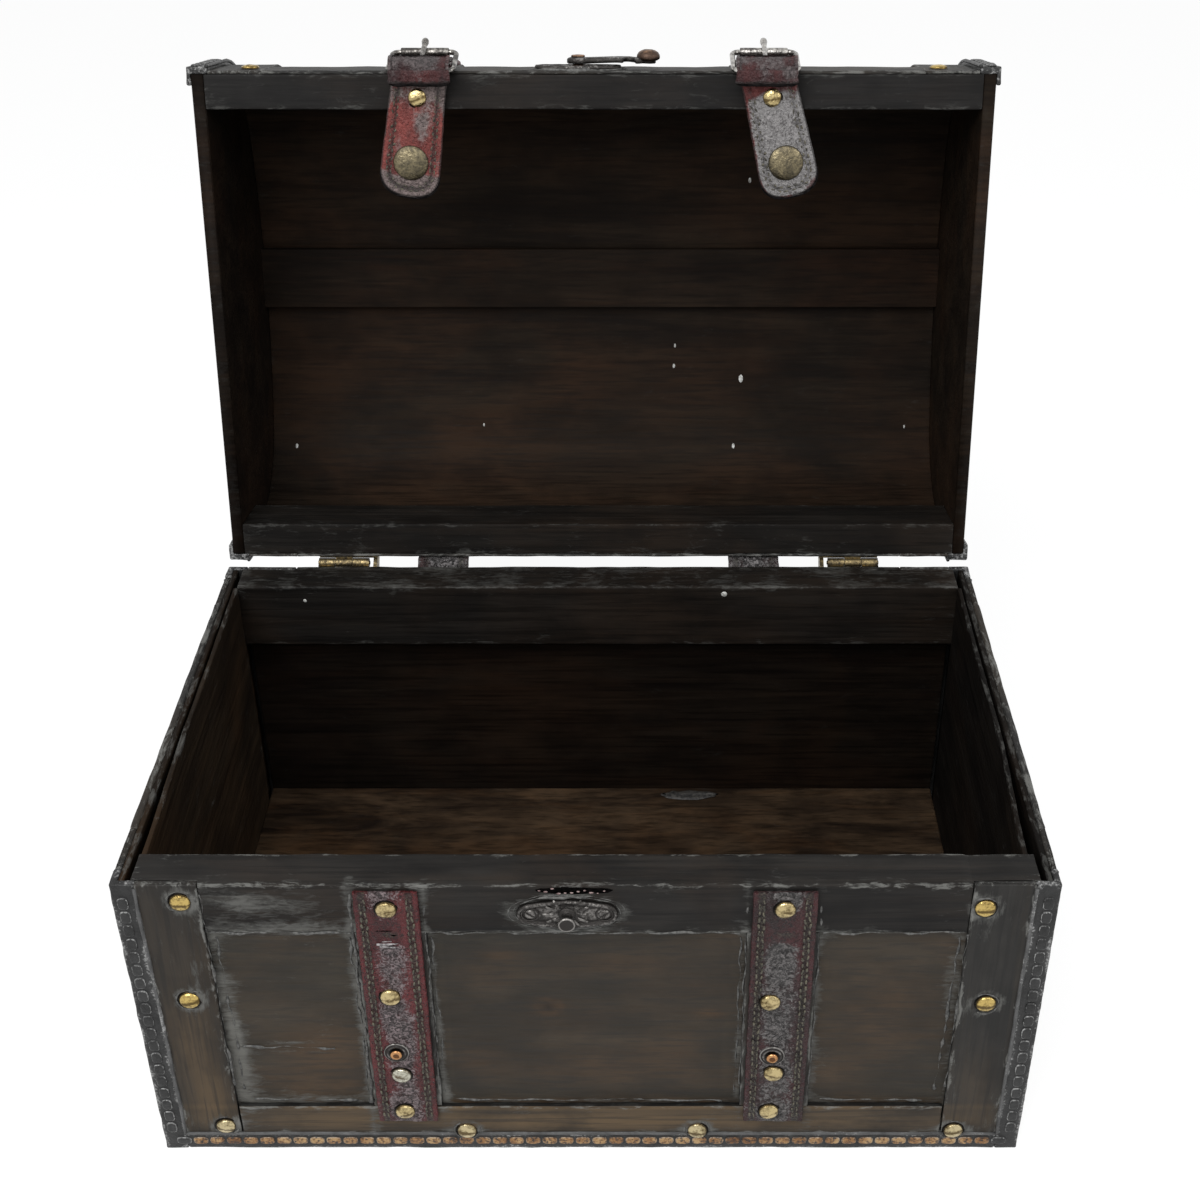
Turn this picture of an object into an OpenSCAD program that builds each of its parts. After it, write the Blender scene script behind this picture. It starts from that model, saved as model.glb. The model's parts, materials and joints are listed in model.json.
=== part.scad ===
// Small wooden treasure chest with a domed lid, shown with the lid standing open.
// Origin at the centre of the underside, +X to the right, +Y to the back, +Z up.
// Lid pieces are drawn as if the lid were closed and then turned about the hinge pins.

/* [Box] */
// Overall width, end to end
box_w = 380; // [350:1:410]
// Overall depth, front face to back face
box_d = 240; // [225:1:255]
// Height of the base, underside to rim
base_h = 157; // [145:1:170]
// Gap between the rim of the base and the closed lid
rim_gap = 0.5; // [0.4:0.1:1.2]
// Angle at which the open lid stands against its stops
open_angle = 102; // [95:1:106]

/* [Lid arch] */
// Height of the crown above the lid's rim
crown_h = 106; // [102:1:112]
// Height of the straight front and back walls of the lid
wall_h = 38; // [35:1:42]
// Shoulder radius as a share of the crown's rise above the walls
shoulder_share = 0.8824; // [0.8:0.0001:0.94]

/* [Boards of the base] */
// Thickness of the floor board
floor_t = 18; // [12:1:24]
// Thickness of the front and back panels
panel_t = 6; // [4:0.5:8]
// Thickness of the end boards
end_board_t = 5; // [4:0.5:7]
// Thickness of the frame strips and of the edge bands
frame_t = 3; // [2:0.5:4]
// Thickness of the front rim rail
front_rail_t = 19; // [15:1:24]
// Thickness of the back rim rail
back_rail_t = 20; // [15:1:24]
// Height of the rim rails on the outside
rail_face_h = 26; // [22:1:30]
// Height of the rim rails on the inside
rail_inner_h = 35; // [32:1:42]
// Height of the bottom rail of each frame
bottom_rail_h = 17; // [12:1:22]
// Width of the corner stiles
stile_w = 25; // [18:1:30]
// Width of the stiles under the straps
mid_stile_w = 30; // [28:1:36]
// Width of the edge bands
band_w = 10; // [8:0.5:12]
// Radius of the bead along each edge band
bead_r = 0.8; // [0.5:0.1:1]

/* [Boards of the lid] */
// Thickness of the curved skin
skin_t = 4; // [3:0.5:6]
// Thickness of the strips bent over the skin
strip_t = 1.5; // [1:0.25:2.5]
// Thickness of the end boards
lid_end_t = 6; // [4:0.5:8]
// Thickness of the rim rails, strips included
lid_rail_t = 17.5; // [14:0.5:22]
// Height of the rim rails
lid_rail_h = 32; // [26:1:34]
// Height of the rail's lip that carries the skin
lid_lip_h = 6; // [4:1:10]
// Thickness of the bands that cap both ends
cap_t = 2; // [1.5:0.25:3]
// Width of the batten inside the crown
batten_w = 31; // [20:1:40]
// Depth of the batten below the top of the skin
batten_t = 7; // [5:0.5:10]
// Distance of the batten's middle in front of the crown
batten_shift = 6; // [0:1:20]

/* [Straps] */
// Distance of each strap from the middle of the chest
strap_x = 80; // [70:1:95]
// Width of the straps
strap_w = 26; // [22:0.5:28]
// Thickness of the straps
strap_t = 2.2; // [1.6:0.1:2.6]
// Height of the straps' lower ends above the underside
strap_foot = 20; // [14:1:24]
// Distance of the front straps' upper ends below the rim
strap_head = 2.5; // [1:0.5:5]
// Distance of the back straps' ends from the hinge line
fold_reach = 5; // [4:0.5:8]
// Height above the rim at which the lid straps start in front
lid_strap_v = 6; // [4:1:10]

/* [Nails and studs] */
// Radius of a nail's head
nail_r = 4.2; // [3:0.1:4.6]
// Height of a nail's head
nail_h = 2; // [1.2:0.1:2.4]
// Height of the middle nails of the corner stiles
mid_nail_z = 92; // [80:1:110]
// Height of the upper middle nails of the straps
upper_nail_z = 95; // [88:1:110]
// Height of the snap studs
snap_z = 63; // [61:1:70]
// Height of the lower middle nails of the straps
lower_nail_z = 50; // [42:1:51]
// Distance of the foot nails from the middle
foot_nail_x = 50; // [30:1:60]
// Radius of a snap stud's foot
snap_r = 4.4; // [3.5:0.1:4.8]
// Reach of a snap stud
snap_h = 3; // [2:0.1:3.4]

/* [Hinges] */
// Distance of the hinges from the middle of the chest
hinge_x = 131; // [120:1:140]
// Distance of the hinge pins behind the back face
hinge_out = 3.2; // [3:0.1:4]
// Radius of the hinge pins
pin_r = 1; // [0.8:0.1:1.2]
// Radius of the knuckles
knuckle_r = 2.4; // [2.1:0.1:2.6]
// Width of each hinge over its knuckles
knuckle_w = 26; // [22:1:30]
// Height of the leaves
leaf_h = 20; // [16:1:24]
// Thickness of the leaves
leaf_t = 1.5; // [1.3:0.1:1.8]
// Thickness of the stop tabs beside the knuckles
tab_t = 2; // [1.5:0.5:3]

/* [Latch] */
// Place of the latch, left or right of the middle
latch_x = -7.5; // [-20:0.5:20]
// Height of the latch stud
stud_z = 142.5; // [141:0.5:145]
// Radius of the latch stud
stud_r = 2.2; // [1.8:0.1:2.6]
// Reach of the latch stud
stud_h = 8; // [6:0.5:10]
// Length of both latch plates
plate_w = 40; // [34:1:44]
// Height of both latch plates
plate_h = 15; // [12:1:16]
// Thickness of both latch plates
plate_t = 1.5; // [1:0.1:2]
// Height of the latch pivot above the lid's rim
pivot_v = 9; // [8:0.5:12]
// Radius of the latch rivet
rivet_r = 2; // [1.5:0.1:2.4]
// Thickness of the latch arm
arm_t = 1.8; // [1.2:0.1:2.2]
// Width of the latch arm
arm_w = 7; // [5:0.5:9]
// Distance of the knob from the pivot
knob_reach = 33; // [32:0.5:38]
// Radius of the knob
knob_r = 5.2; // [4:0.1:5.4]

/* [Buckles] */
// Distance of the roller in front of the lid's front face
roller_out = 7.2; // [7:0.1:8]
// Height of the roller above the lid's rim
roller_v = 16; // [14:0.5:20]
// Distance of the strap bar in front of the lid's front face
bar_out = 0.3; // [0:0.1:1]
// Distance of the strap bar below the lid's rim
bar_drop = 6.5; // [6:0.1:8]
// Width of the buckle, side bar to side bar
buckle_w = 30; // [30:0.5:34]
// Radius of the buckle's wire
wire_r = 1.2; // [1:0.1:1.4]
// Radius of the roller
roller_r = 2; // [1.7:0.1:2.2]
// Width of the tongue
tongue_w = 3; // [2:0.1:3.4]
// Thickness of the tongue
tongue_t = 2; // [1.4:0.1:2.2]
// Length of the tongue's tip past the roller
tongue_tip = 6; // [3:0.5:8]

/* [Flaps] */
// Length of each flap below its bar
flap_len = 58; // [52:1:66]
// Thickness of a flap
flap_t = 2.4; // [1.8:0.1:2.6]
// Angle of the hanging flaps to the lid's front face
flap_angle = 97; // [92:1:100]
// Sideways lean of the left flap
left_lean = -9; // [-16:1:0]
// Sideways lean of the right flap
right_lean = 14; // [0:1:16]
// Distance of the flap nail below the bar
flap_nail_d = 11.8; // [10:0.2:16]
// Distance of the snap cap below the bar
cap_d = 42; // [34:1:44]
// Radius of the snap cap
cap_r = 7.8; // [6:0.1:8.4]
// Height of the snap cap
cap_h = 2.4; // [1.6:0.1:3]

/* [Clearances] */
// Gap between pieces that move past each other
run_gap = 0.3; // [0.2:0.05:0.4]
// Radial clearance of a pin in its hole
pin_gap = 0.06; // [0.03:0.01:0.1]

/* [Hidden] */
$fn = 48;
half_w = box_w / 2;
half_d = box_d / 2;
rim_z = base_h + rim_gap;
rail_z = base_h - rail_face_h;
hinge_y = half_d + hinge_out;
hinge_z = base_h + rim_gap / 2;
board_x = half_w - frame_t;
inner_x = board_x - end_board_t;
panel_y = half_d - frame_t;
inner_y = panel_y - panel_t;
band_x = half_w - band_w;
band_y = half_d - band_w;
stile_x = band_x - stile_w;
stile_mid = band_x - stile_w / 2;
rail_top = band_w + bottom_rail_h;

// Crown circle that runs tangent into both shoulders
crown_rise = crown_h - wall_h;
shoulder_r = shoulder_share * crown_rise;
shoulder_y = half_d - shoulder_r;
crown_r = (shoulder_y * shoulder_y + crown_rise * crown_rise - shoulder_r * shoulder_r)
    / (2 * (crown_rise - shoulder_r));
crown_z = crown_h - crown_r;
crown_span = atan2(shoulder_y, wall_h - crown_z);

lid_inner_x = half_w - cap_t - lid_end_t;
skin_out = -strip_t;
skin_in = -strip_t - skin_t;

// Nails are hammered in by hand, so each has its own small error
top_nail_z = base_h - 10;
foot_nail_z = band_w + 2;
frame_nails = [
    [-stile_mid + 5, top_nail_z + 1], [-stile_mid + 1, mid_nail_z + 1],
    [-stile_mid + 6, foot_nail_z + 3], [-foot_nail_x - 5, foot_nail_z],
    [foot_nail_x - 3, foot_nail_z], [stile_mid - 7, foot_nail_z],
    [stile_mid - 1, mid_nail_z - 1], [stile_mid - 7, top_nail_z - 2]
];
strap_nails = [
    [-strap_x, top_nail_z - 1], [-strap_x - 2, upper_nail_z + 2],
    [-strap_x - 1, lower_nail_z], [-strap_x - 1, rail_top],
    [strap_x, top_nail_z - 1], [strap_x - 4, upper_nail_z - 1],
    [strap_x - 1, lower_nail_z + 1], [strap_x - 2, rail_top]
];
snap_places = [[-strap_x - 2, snap_z + 1], [strap_x - 2, snap_z - 1]];
end_nail_y = band_y - stile_w / 2;

leaf_x0 = hinge_x - knuckle_w / 2 - 2 * tab_t;
leaf_x1 = hinge_x + knuckle_w / 2;
knuckle_piece = knuckle_w / 3;
leaf_notch = knuckle_r + run_gap;
screw_r = 1.9;
screw_h = 0.8;

pivot_z = rim_z + pivot_v;
notch_d = pivot_z - stud_z;
arm_out = plate_t + screw_h + run_gap;
knob_out = plate_t + knob_r + run_gap;
plate_screw_d = plate_w / 2 - 5;

// The buckle's own frame: origin on the strap bar, +Z towards the roller, -Y outwards
buckle_len = norm([roller_v + bar_drop, roller_out - bar_out]);
buckle_tilt = atan2(roller_out - bar_out, roller_v + bar_drop);
eye_r = wire_r + pin_gap + flap_t * 0.8;
tail_t = 2;
tail_in = eye_r + run_gap;
tail_mid = tail_in + tail_t / 2;
tail_drop = roller_r + run_gap + tail_t / 2;
tail_tilt = atan2(tail_drop, buckle_len) + asin(tail_mid / norm([tail_drop, buckle_len]));
tail_len = sqrt(buckle_len * buckle_len + tail_drop * tail_drop - tail_mid * tail_mid);
keeper_in = tail_in + tail_t + run_gap;
keeper_t = 2;
tongue_tilt = asin((roller_r + tongue_t / 2 + run_gap / 2) / buckle_len);
tongue_eye_r = wire_r + pin_gap + 1.2;
slot_w = tongue_w + 4 * run_gap;
inner_half = buckle_w / 2 - wire_r - run_gap;
tail_half = min(strap_w / 2, inner_half);

// Shared shapes

// A block given by its limits along each axis
module slab(x0, x1, y0, y1, z0, z1) {
    translate([x0, y0, z0])
        cube([x1 - x0, y1 - y0, z1 - z0]);
}

// The same shape on the left and on the right
module both_sides() {
    children();
    mirror([1, 0, 0]) children();
}

// The same shape in front and behind
module both_faces() {
    children();
    mirror([0, 1, 0]) children();
}

// A profile in the YZ plane drawn out from x0 to x1
module along_x(x0, x1) {
    translate([x0, 0, 0])
        rotate([90, 0, 90])
            linear_extrude(height = x1 - x0) children();
}

// Part of a ring between two angles that lie less than 180 degrees apart
module ring_sector(inner, outer, a0, a1) {
    far = outer * 3;
    middle = (a0 + a1) / 2;
    intersection() {
        difference() {
            circle(r = outer);
            if (inner > 0) circle(r = inner);
        }
        polygon([
            [0, 0], far * [cos(a0), sin(a0)],
            far * [cos(middle), sin(middle)], far * [cos(a1), sin(a1)]
        ]);
    }
}

// A round head with a flat underside, facing +Z
module dome(radius, height) {
    ball = (radius * radius + height * height) / (2 * height);
    intersection() {
        translate([0, 0, height - ball]) sphere(r = ball);
        cylinder(r = radius + 1, h = height + 1);
    }
}

// Children that face +Z are set on the front face at x and z, lifted by a thickness
module on_front(x, z, lift) {
    translate([x, -half_d - lift, z])
        rotate([90, 0, 0]) children();
}

// Points along an arc, both ends included
function arc_points(centre, radius, a0, a1, steps) = [
    for (i = [0 : steps])
        let (a = a0 + (a1 - a0) * i / steps) centre + radius * [cos(a), sin(a)]
];

// Points over the lid's arch at a depth g, from a height at the back to one at the front
function arch_points(g, front_v, back_v) =
    let (step = 2 * crown_span / 12)
    concat(
        [[half_d + g, back_v]],
        arc_points([shoulder_y, wall_h], shoulder_r + g, 0, 90 - crown_span, 14),
        arc_points([0, crown_z], crown_r + g, 90 - crown_span + step, 90 + crown_span - step, 10),
        arc_points([-shoulder_y, wall_h], shoulder_r + g, 90 + crown_span, 180, 14),
        [[-half_d - g, front_v]]
    );

// Profile between two layers over the lid's arch, starting at the given heights
module arch_layer(g0, g1, front_v, back_v) {
    outer = arch_points(g1, front_v, back_v);
    inner = arch_points(g0, front_v, back_v);
    last = len(inner) - 1;
    polygon(concat(outer, [for (i = [0 : last]) inner[last - i]]));
}

// Profile of everything below a layer of the lid's arch
module arch_solid(g) {
    polygon(arch_points(g, 0, 0));
}

// From the closed lid's place to the open one
module on_lid() {
    translate([0, hinge_y, hinge_z])
        rotate([-open_angle, 0, 0])
            translate([0, -hinge_y, -hinge_z]) children();
}

// Children that face +Z are set on the lid's arch: side -1 is the front, 1 the back
module on_wall(side, x, v, lift) {
    translate([x, side * (half_d + lift), rim_z + v])
        rotate([-90 * side, 0, 0]) children();
}
module on_shoulder(side, x, angle, lift) {
    translate([x, side * shoulder_y, rim_z + wall_h])
        rotate([-angle * side, 0, 0])
            translate([0, 0, shoulder_r + lift]) children();
}
module on_crown(x, angle, lift) {
    translate([x, 0, rim_z + crown_z])
        rotate([-angle, 0, 0])
            translate([0, 0, crown_r + lift]) children();
}

// Boards of the base

module base_floor() {
    color("#4a3521") slab(-inner_x, inner_x, -inner_y, inner_y, 0, floor_t);
}

module wall_panel() {
    slab(-inner_x, inner_x, -panel_y, -inner_y, 0, rail_z);
}

module base_front_panel() {
    color("#453b2f") wall_panel();
}

module base_back_panel() {
    color("#453b2f") mirror([0, 1, 0]) wall_panel();
}

module base_right_end() {
    color("#3d352b") slab(inner_x, board_x, -panel_y, panel_y, 0, base_h);
}

module base_left_end() {
    color("#3d352b") mirror([1, 0, 0]) base_right_end();
}

// Rim rail: its outer lip lies between the stiles and its foot hangs behind the panel
module rim_rail(thickness) {
    inner = -half_d + thickness;
    slab(-stile_x, stile_x, -half_d, -panel_y, rail_z, base_h);
    slab(-inner_x, inner_x, -panel_y, inner, rail_z, base_h);
    slab(-inner_x, inner_x, -inner_y, inner, base_h - rail_inner_h, rail_z);
}

module base_front_rail() {
    color("#2e2d2a") rim_rail(front_rail_t);
}

module base_back_rail() {
    color("#2e2d2a") mirror([0, 1, 0]) rim_rail(back_rail_t);
}

module face_frame() {
    both_sides() {
        slab(stile_x, band_x, -half_d, -panel_y, band_w, base_h);
        slab(strap_x - mid_stile_w / 2, strap_x + mid_stile_w / 2,
            -half_d, -panel_y, rail_top, rail_z);
    }
    slab(-stile_x, stile_x, -half_d, -panel_y, band_w, rail_top);
}

module base_front_frame() {
    color("#302f2c") face_frame();
}

module base_back_frame() {
    color("#302f2c") mirror([0, 1, 0]) face_frame();
}

module base_end_frames() {
    color("#302f2c") both_sides() {
        both_faces() slab(board_x, half_w, -band_y, -band_y + stile_w, band_w, base_h);
        slab(board_x, half_w, -band_y + stile_w, band_y - stile_w, rail_z, base_h);
        slab(board_x, half_w, -band_y + stile_w, band_y - stile_w, band_w, rail_top);
    }
}

module base_corner_bands() {
    color("#262524") both_faces() both_sides() {
        slab(band_x, half_w, -half_d, -panel_y, 0, base_h);
        slab(board_x, half_w, -panel_y, -band_y, 0, base_h);
    }
}

module base_bottom_bands() {
    color("#5a4030") {
        both_faces() slab(-band_x, band_x, -half_d, -panel_y, 0, band_w);
        both_sides() slab(board_x, half_w, -band_y, band_y, 0, band_w);
    }
}

// Half-round bead from the origin towards +X, standing out towards -Y
module bead(length) {
    intersection() {
        rotate([0, 90, 0]) cylinder(r = bead_r, h = length);
        slab(0, length, -2 * bead_r, 0, -2 * bead_r, 2 * bead_r);
    }
}

// Beads of one face: a foot bead and a bead up each corner, cut away under the nails
module face_beads(reach, out) {
    difference() {
        translate([0, -out, 0]) {
            translate([-reach, 0, band_w]) bead(2 * reach);
            both_sides()
                translate([reach, 0, band_w])
                    rotate([0, -90, 0]) bead(base_h - band_w);
        }
        for (p = frame_nails)
            translate([p[0], -out - 2 * bead_r, p[1]])
                rotate([-90, 0, 0]) cylinder(r = nail_r + 0.1, h = 3 * bead_r);
    }
}

module base_beads() {
    color("#6d6d6b") {
        face_beads(band_x, half_d);
        rotate([0, 0, 180]) face_beads(band_x, half_d);
        for (turn = [90, 270])
            rotate([0, 0, turn]) face_beads(band_y, half_w);
    }
}

// Straps, nails and studs of the base

module base_front_straps() {
    color("#5a2026") both_sides()
        slab(strap_x - strap_w / 2, strap_x + strap_w / 2,
            -half_d - strap_t, -half_d, strap_foot, base_h - strap_head);
}

module base_back_straps() {
    color("#5a2026") both_sides()
        slab(strap_x - strap_w / 2, strap_x + strap_w / 2,
            half_d, half_d + strap_t, strap_foot, hinge_z - fold_reach);
}

module base_nails() {
    color("#b8953f") {
        for (turn = [0, 180])
            rotate([0, 0, turn]) {
                for (p = frame_nails)
                    on_front(p[0], p[1], 0) dome(nail_r, nail_h);
                for (p = strap_nails)
                    on_front(p[0], p[1], strap_t) dome(nail_r, nail_h);
            }
        both_sides() both_faces()
            for (z = [foot_nail_z + bead_r + nail_r, top_nail_z])
                translate([half_w, end_nail_y, z])
                    rotate([0, 90, 0]) dome(nail_r, nail_h);
    }
}

module snap_studs() {
    color("#9a7b3a")
        for (p = snap_places)
            on_front(p[0], p[1], strap_t) {
                cylinder(r = snap_r, h = 0.8);
                cylinder(r = snap_r / 2, h = snap_h);
            }
}

// Latch on the base

// Plate with a round middle and two ears, facing +Z
module latch_plate() {
    ear_r = plate_h / 3;
    cylinder(r = plate_h / 2, h = plate_t);
    both_sides()
        translate([plate_w / 2 - ear_r, 0, 0]) cylinder(r = ear_r, h = plate_t);
    translate([-plate_w / 2 + ear_r, -ear_r, 0]) cube([plate_w - 2 * ear_r, 2 * ear_r, plate_t]);
}

module base_latch_plate() {
    color("#3a3836") on_front(latch_x, stud_z, 0) latch_plate();
}

module latch_stud() {
    color("#7a5a48") on_front(latch_x, stud_z, plate_t) {
        cylinder(r = stud_r, h = stud_h - 1.5 * plate_t);
        translate([0, 0, stud_h - 2 * plate_t]) cylinder(r = 1.6 * stud_r, h = plate_t);
    }
}

module base_latch_screws() {
    color("#55504a")
        for (side = [-1, 1])
            on_front(latch_x + side * plate_screw_d, stud_z, plate_t) dome(screw_r, screw_h);
}

// Hinges

// One leaf: sign -1 hangs down from the pin, sign 1 stands up from it
module hinge_leaf(sign, knuckles) {
    start = knuckle_w / 2;
    difference() {
        union() {
            both_sides()
                slab(leaf_x0, leaf_x1, half_d, half_d + leaf_t,
                    min(hinge_z, hinge_z + sign * leaf_h), max(hinge_z, hinge_z + sign * leaf_h));
            both_sides()
                for (k = knuckles)
                    translate([hinge_x - start + k * knuckle_piece + run_gap / 2, hinge_y, hinge_z])
                        rotate([0, 90, 0]) cylinder(r = knuckle_r, h = knuckle_piece - run_gap);
        }
        both_sides() {
            translate([leaf_x0 - 1, hinge_y, hinge_z])
                rotate([0, 90, 0]) cylinder(r = pin_r + pin_gap, h = leaf_x1 - leaf_x0 + 2);
            for (k = [0, 1, 2])
                if (len(search(k, knuckles)) == 0)
                    leaf_room(k * knuckle_piece - start - run_gap / 2,
                        (k + 1) * knuckle_piece - start + run_gap / 2);
            leaf_room(leaf_x0 - hinge_x - 1, -start + run_gap / 2);
        }
    }
}

// Room in a leaf for what the other leaf has there
module leaf_room(x0, x1) {
    slab(hinge_x + x0, hinge_x + x1, half_d - 1, hinge_y + knuckle_r + 1,
        hinge_z - leaf_notch, hinge_z + leaf_notch);
}

module leaf_screws(sign) {
    both_sides()
        for (dx = [-knuckle_w / 4, knuckle_w / 4])
            translate([hinge_x + dx, half_d + leaf_t, hinge_z + sign * leaf_h * 0.6])
                rotate([-90, 0, 0]) dome(screw_r, screw_h);
}

module base_hinge_leaves() {
    color("#a08040") hinge_leaf(-1, [0, 2]);
}

module hinge_pins() {
    color("#8a8880") both_sides()
        translate([hinge_x - knuckle_w / 2 - run_gap, hinge_y, hinge_z])
            rotate([0, 90, 0]) cylinder(r = pin_r, h = knuckle_w + 2 * run_gap);
}

module base_hinge_screws() {
    color("#a08040") leaf_screws(-1);
}

// Tab on the lower leaf whose sloped top stops the upper leaf at the open angle
module hinge_stop_tabs() {
    seat = hinge_out - leaf_t;
    near = 1.5 * knuckle_r;
    out = 4 * knuckle_r;
    foot = leaf_h * 0.8;
    // Height of the upper leaf's face, above the pin, when the lid stands open
    near_z = (seat + near * cos(open_angle)) / sin(open_angle);
    out_z = (seat + out * cos(open_angle)) / sin(open_angle);
    color("#3a3633") both_sides()
        along_x(leaf_x0 + run_gap, leaf_x0 + run_gap + tab_t)
            translate([hinge_y, hinge_z])
                polygon([
                    [-seat, -foot], [-seat, -leaf_notch],
                    [near, near_z - run_gap], [out, out_z - run_gap],
                    [out, out_z - knuckle_r]
                ]);
}

// Leather that bends round the hinge line between the base straps and the lid straps
module strap_folds() {
    s = sin(open_angle);
    c = cos(open_angle);
    // A point fixed on the lid, given behind and above the pin with the lid closed
    function opened(y, z) = [y * c + z * s, z * c - y * s];
    color("#5a2026") both_sides()
        along_x(strap_x - strap_w / 2, strap_x + strap_w / 2)
            translate([hinge_y, hinge_z])
                polygon([
                    [-hinge_out, -fold_reach], [-hinge_out, -rim_gap],
                    [-0.6 * hinge_out, 0.5 * hinge_out],
                    opened(-hinge_out, 0.4 * hinge_out), opened(-hinge_out, fold_reach),
                    opened(strap_t - hinge_out, fold_reach),
                    [0.6, 0.7], [strap_t - hinge_out, -0.4 * hinge_out],
                    [strap_t - hinge_out, -fold_reach]
                ]);
}

// Boards of the lid

module lid_rail() {
    inner = -half_d + lid_rail_t;
    slab(-lid_inner_x, lid_inner_x, -half_d + strip_t, inner, rim_z, rim_z + lid_lip_h);
    slab(-lid_inner_x, lid_inner_x, -half_d - skin_in, inner, rim_z + lid_lip_h, rim_z + lid_rail_h);
}

module lid_front_rail() {
    color("#2e2d2a") on_lid() lid_rail();
}

module lid_back_rail() {
    color("#2e2d2a") on_lid() mirror([0, 1, 0]) lid_rail();
}

module lid_end() {
    translate([0, 0, rim_z])
        along_x(lid_inner_x, lid_inner_x + lid_end_t) arch_solid(skin_out);
}

module lid_right_end() {
    color("#3d352b") on_lid() lid_end();
}

module lid_left_end() {
    color("#3d352b") on_lid() mirror([1, 0, 0]) lid_end();
}

module lid_skin() {
    color("#453b2f") on_lid()
        translate([0, 0, rim_z])
            along_x(-lid_inner_x, lid_inner_x)
                arch_layer(skin_in, skin_out, lid_lip_h, lid_lip_h);
}

module lid_crown_batten() {
    color("#2a2018") on_lid()
        translate([0, 0, rim_z])
            along_x(-lid_inner_x, lid_inner_x)
                intersection() {
                    arch_solid(skin_in);
                    translate([-batten_shift - batten_w / 2, crown_h + skin_in - batten_t])
                        square([batten_w, batten_t]);
                }
}

// Strips on the lid: one along each lower edge and four bent over the arch
module lid_strips() {
    color("#302f2c") on_lid() translate([0, 0, rim_z]) {
        both_faces()
            slab(-stile_x, stile_x, -half_d, -half_d + strip_t, 0, rail_face_h);
        both_sides() {
            along_x(stile_x, band_x) arch_layer(skin_out, 0, 0, 0);
            along_x(strap_x - mid_stile_w / 2, strap_x + mid_stile_w / 2)
                arch_layer(skin_out, 0, rail_face_h, rail_face_h);
        }
    }
}

// Band over each end: a flange on the strips' side and one down the end board
module lid_end_bands() {
    end_x = lid_inner_x + lid_end_t;
    color("#262524") on_lid() translate([0, 0, rim_z]) both_sides() {
        along_x(band_x, end_x) arch_layer(skin_out, cap_t, 0, 0);
        along_x(end_x, half_w) arch_layer(skin_out - band_w / 2, cap_t, 0, 0);
    }
}

module lid_straps() {
    back_v = hinge_z + fold_reach - rim_z;
    color("#5a2026") on_lid() translate([0, 0, rim_z]) both_sides()
        along_x(strap_x - strap_w / 2, strap_x + strap_w / 2)
            arch_layer(0, strap_t, lid_strap_v, back_v);
}

module lid_nails() {
    color("#b8953f") on_lid() both_sides() {
        for (side = [-1, 1]) {
            on_wall(side, stile_mid - 5, 13, 0) dome(nail_r, nail_h);
            on_shoulder(side, stile_mid, 45, 0) dome(nail_r, nail_h);
            on_shoulder(side, strap_x, 40, strap_t) dome(nail_r, nail_h);
        }
        on_crown(stile_mid, 0, 0) dome(nail_r, nail_h);
        on_crown(strap_x, 0, strap_t) dome(nail_r, nail_h);
        on_wall(1, strap_x, 16, strap_t) dome(nail_r, nail_h);
    }
}

// Latch on the lid

module lid_latch_plate() {
    color("#3a3836") on_lid() on_front(latch_x, pivot_z, 0) latch_plate();
}

module lid_latch_screws() {
    color("#55504a") on_lid()
        for (side = [-1, 1])
            on_front(latch_x + side * plate_screw_d, pivot_z, plate_t) dome(screw_r, screw_h);
}

module latch_rivet() {
    neck = arm_out + arm_t + run_gap - plate_t;
    color("#7a5a48") on_lid() on_front(latch_x, pivot_z, plate_t) {
        cylinder(r = rivet_r, h = neck + 0.5);
        translate([0, 0, neck]) dome(1.8 * rivet_r, 1.2);
    }
}

// Arm pointing to the right, with a notch in its lower edge that takes the stud
module latch_arm() {
    hub_r = 2.6 * rivet_r;
    eye = 2.5 * stud_r;
    color("#4a4542") on_lid()
        on_front(latch_x, pivot_z, arm_out) {
            difference() {
                union() {
                    cylinder(r = hub_r, h = arm_t);
                    translate([0, -arm_w / 2, 0]) cube([knob_reach, arm_w, arm_t]);
                    translate([notch_d, 0, 0]) cylinder(r = eye, h = arm_t);
                }
                translate([0, 0, -1]) cylinder(r = rivet_r + pin_gap, h = arm_t + 2);
                translate([notch_d, 0, -1]) cylinder(r = stud_r + run_gap, h = arm_t + 2);
                translate([notch_d - stud_r - run_gap, -2 * eye, -1])
                    cube([2 * (stud_r + run_gap), 2 * eye, arm_t + 2]);
            }
            translate([knob_reach, 0, knob_out - arm_out]) sphere(r = knob_r);
        }
}

module lid_hinge_leaves() {
    color("#a08040") on_lid() hinge_leaf(1, [1]);
}

module lid_hinge_screws() {
    color("#a08040") on_lid() leaf_screws(1);
}

// Buckles: side is -1 on the left and 1 on the right

module on_bar(side) {
    on_lid()
        translate([side * strap_x, -half_d - bar_out, rim_z - bar_drop]) children();
}

module on_buckle(side) {
    on_bar(side) rotate([buckle_tilt, 0, 0]) children();
}

module x_rod(radius, half) {
    translate([-half, 0, 0])
        rotate([0, 90, 0]) cylinder(r = radius, h = 2 * half);
}

module buckle_frame(side) {
    half = buckle_w / 2;
    color("#a8a6a0") on_buckle(side) {
        for (z = [0, buckle_len])
            translate([0, 0, z]) x_rod(wire_r, half);
        both_sides() translate([half, 0, 0]) {
            cylinder(r = wire_r, h = buckle_len);
            sphere(r = wire_r);
            translate([0, 0, buckle_len]) sphere(r = wire_r);
        }
    }
}

module buckle_roller(side) {
    color("#c8c6c0") on_buckle(side)
        translate([0, 0, buckle_len])
            difference() {
                x_rod(roller_r, inner_half);
                x_rod(wire_r + pin_gap, inner_half + 1);
            }
}

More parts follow.
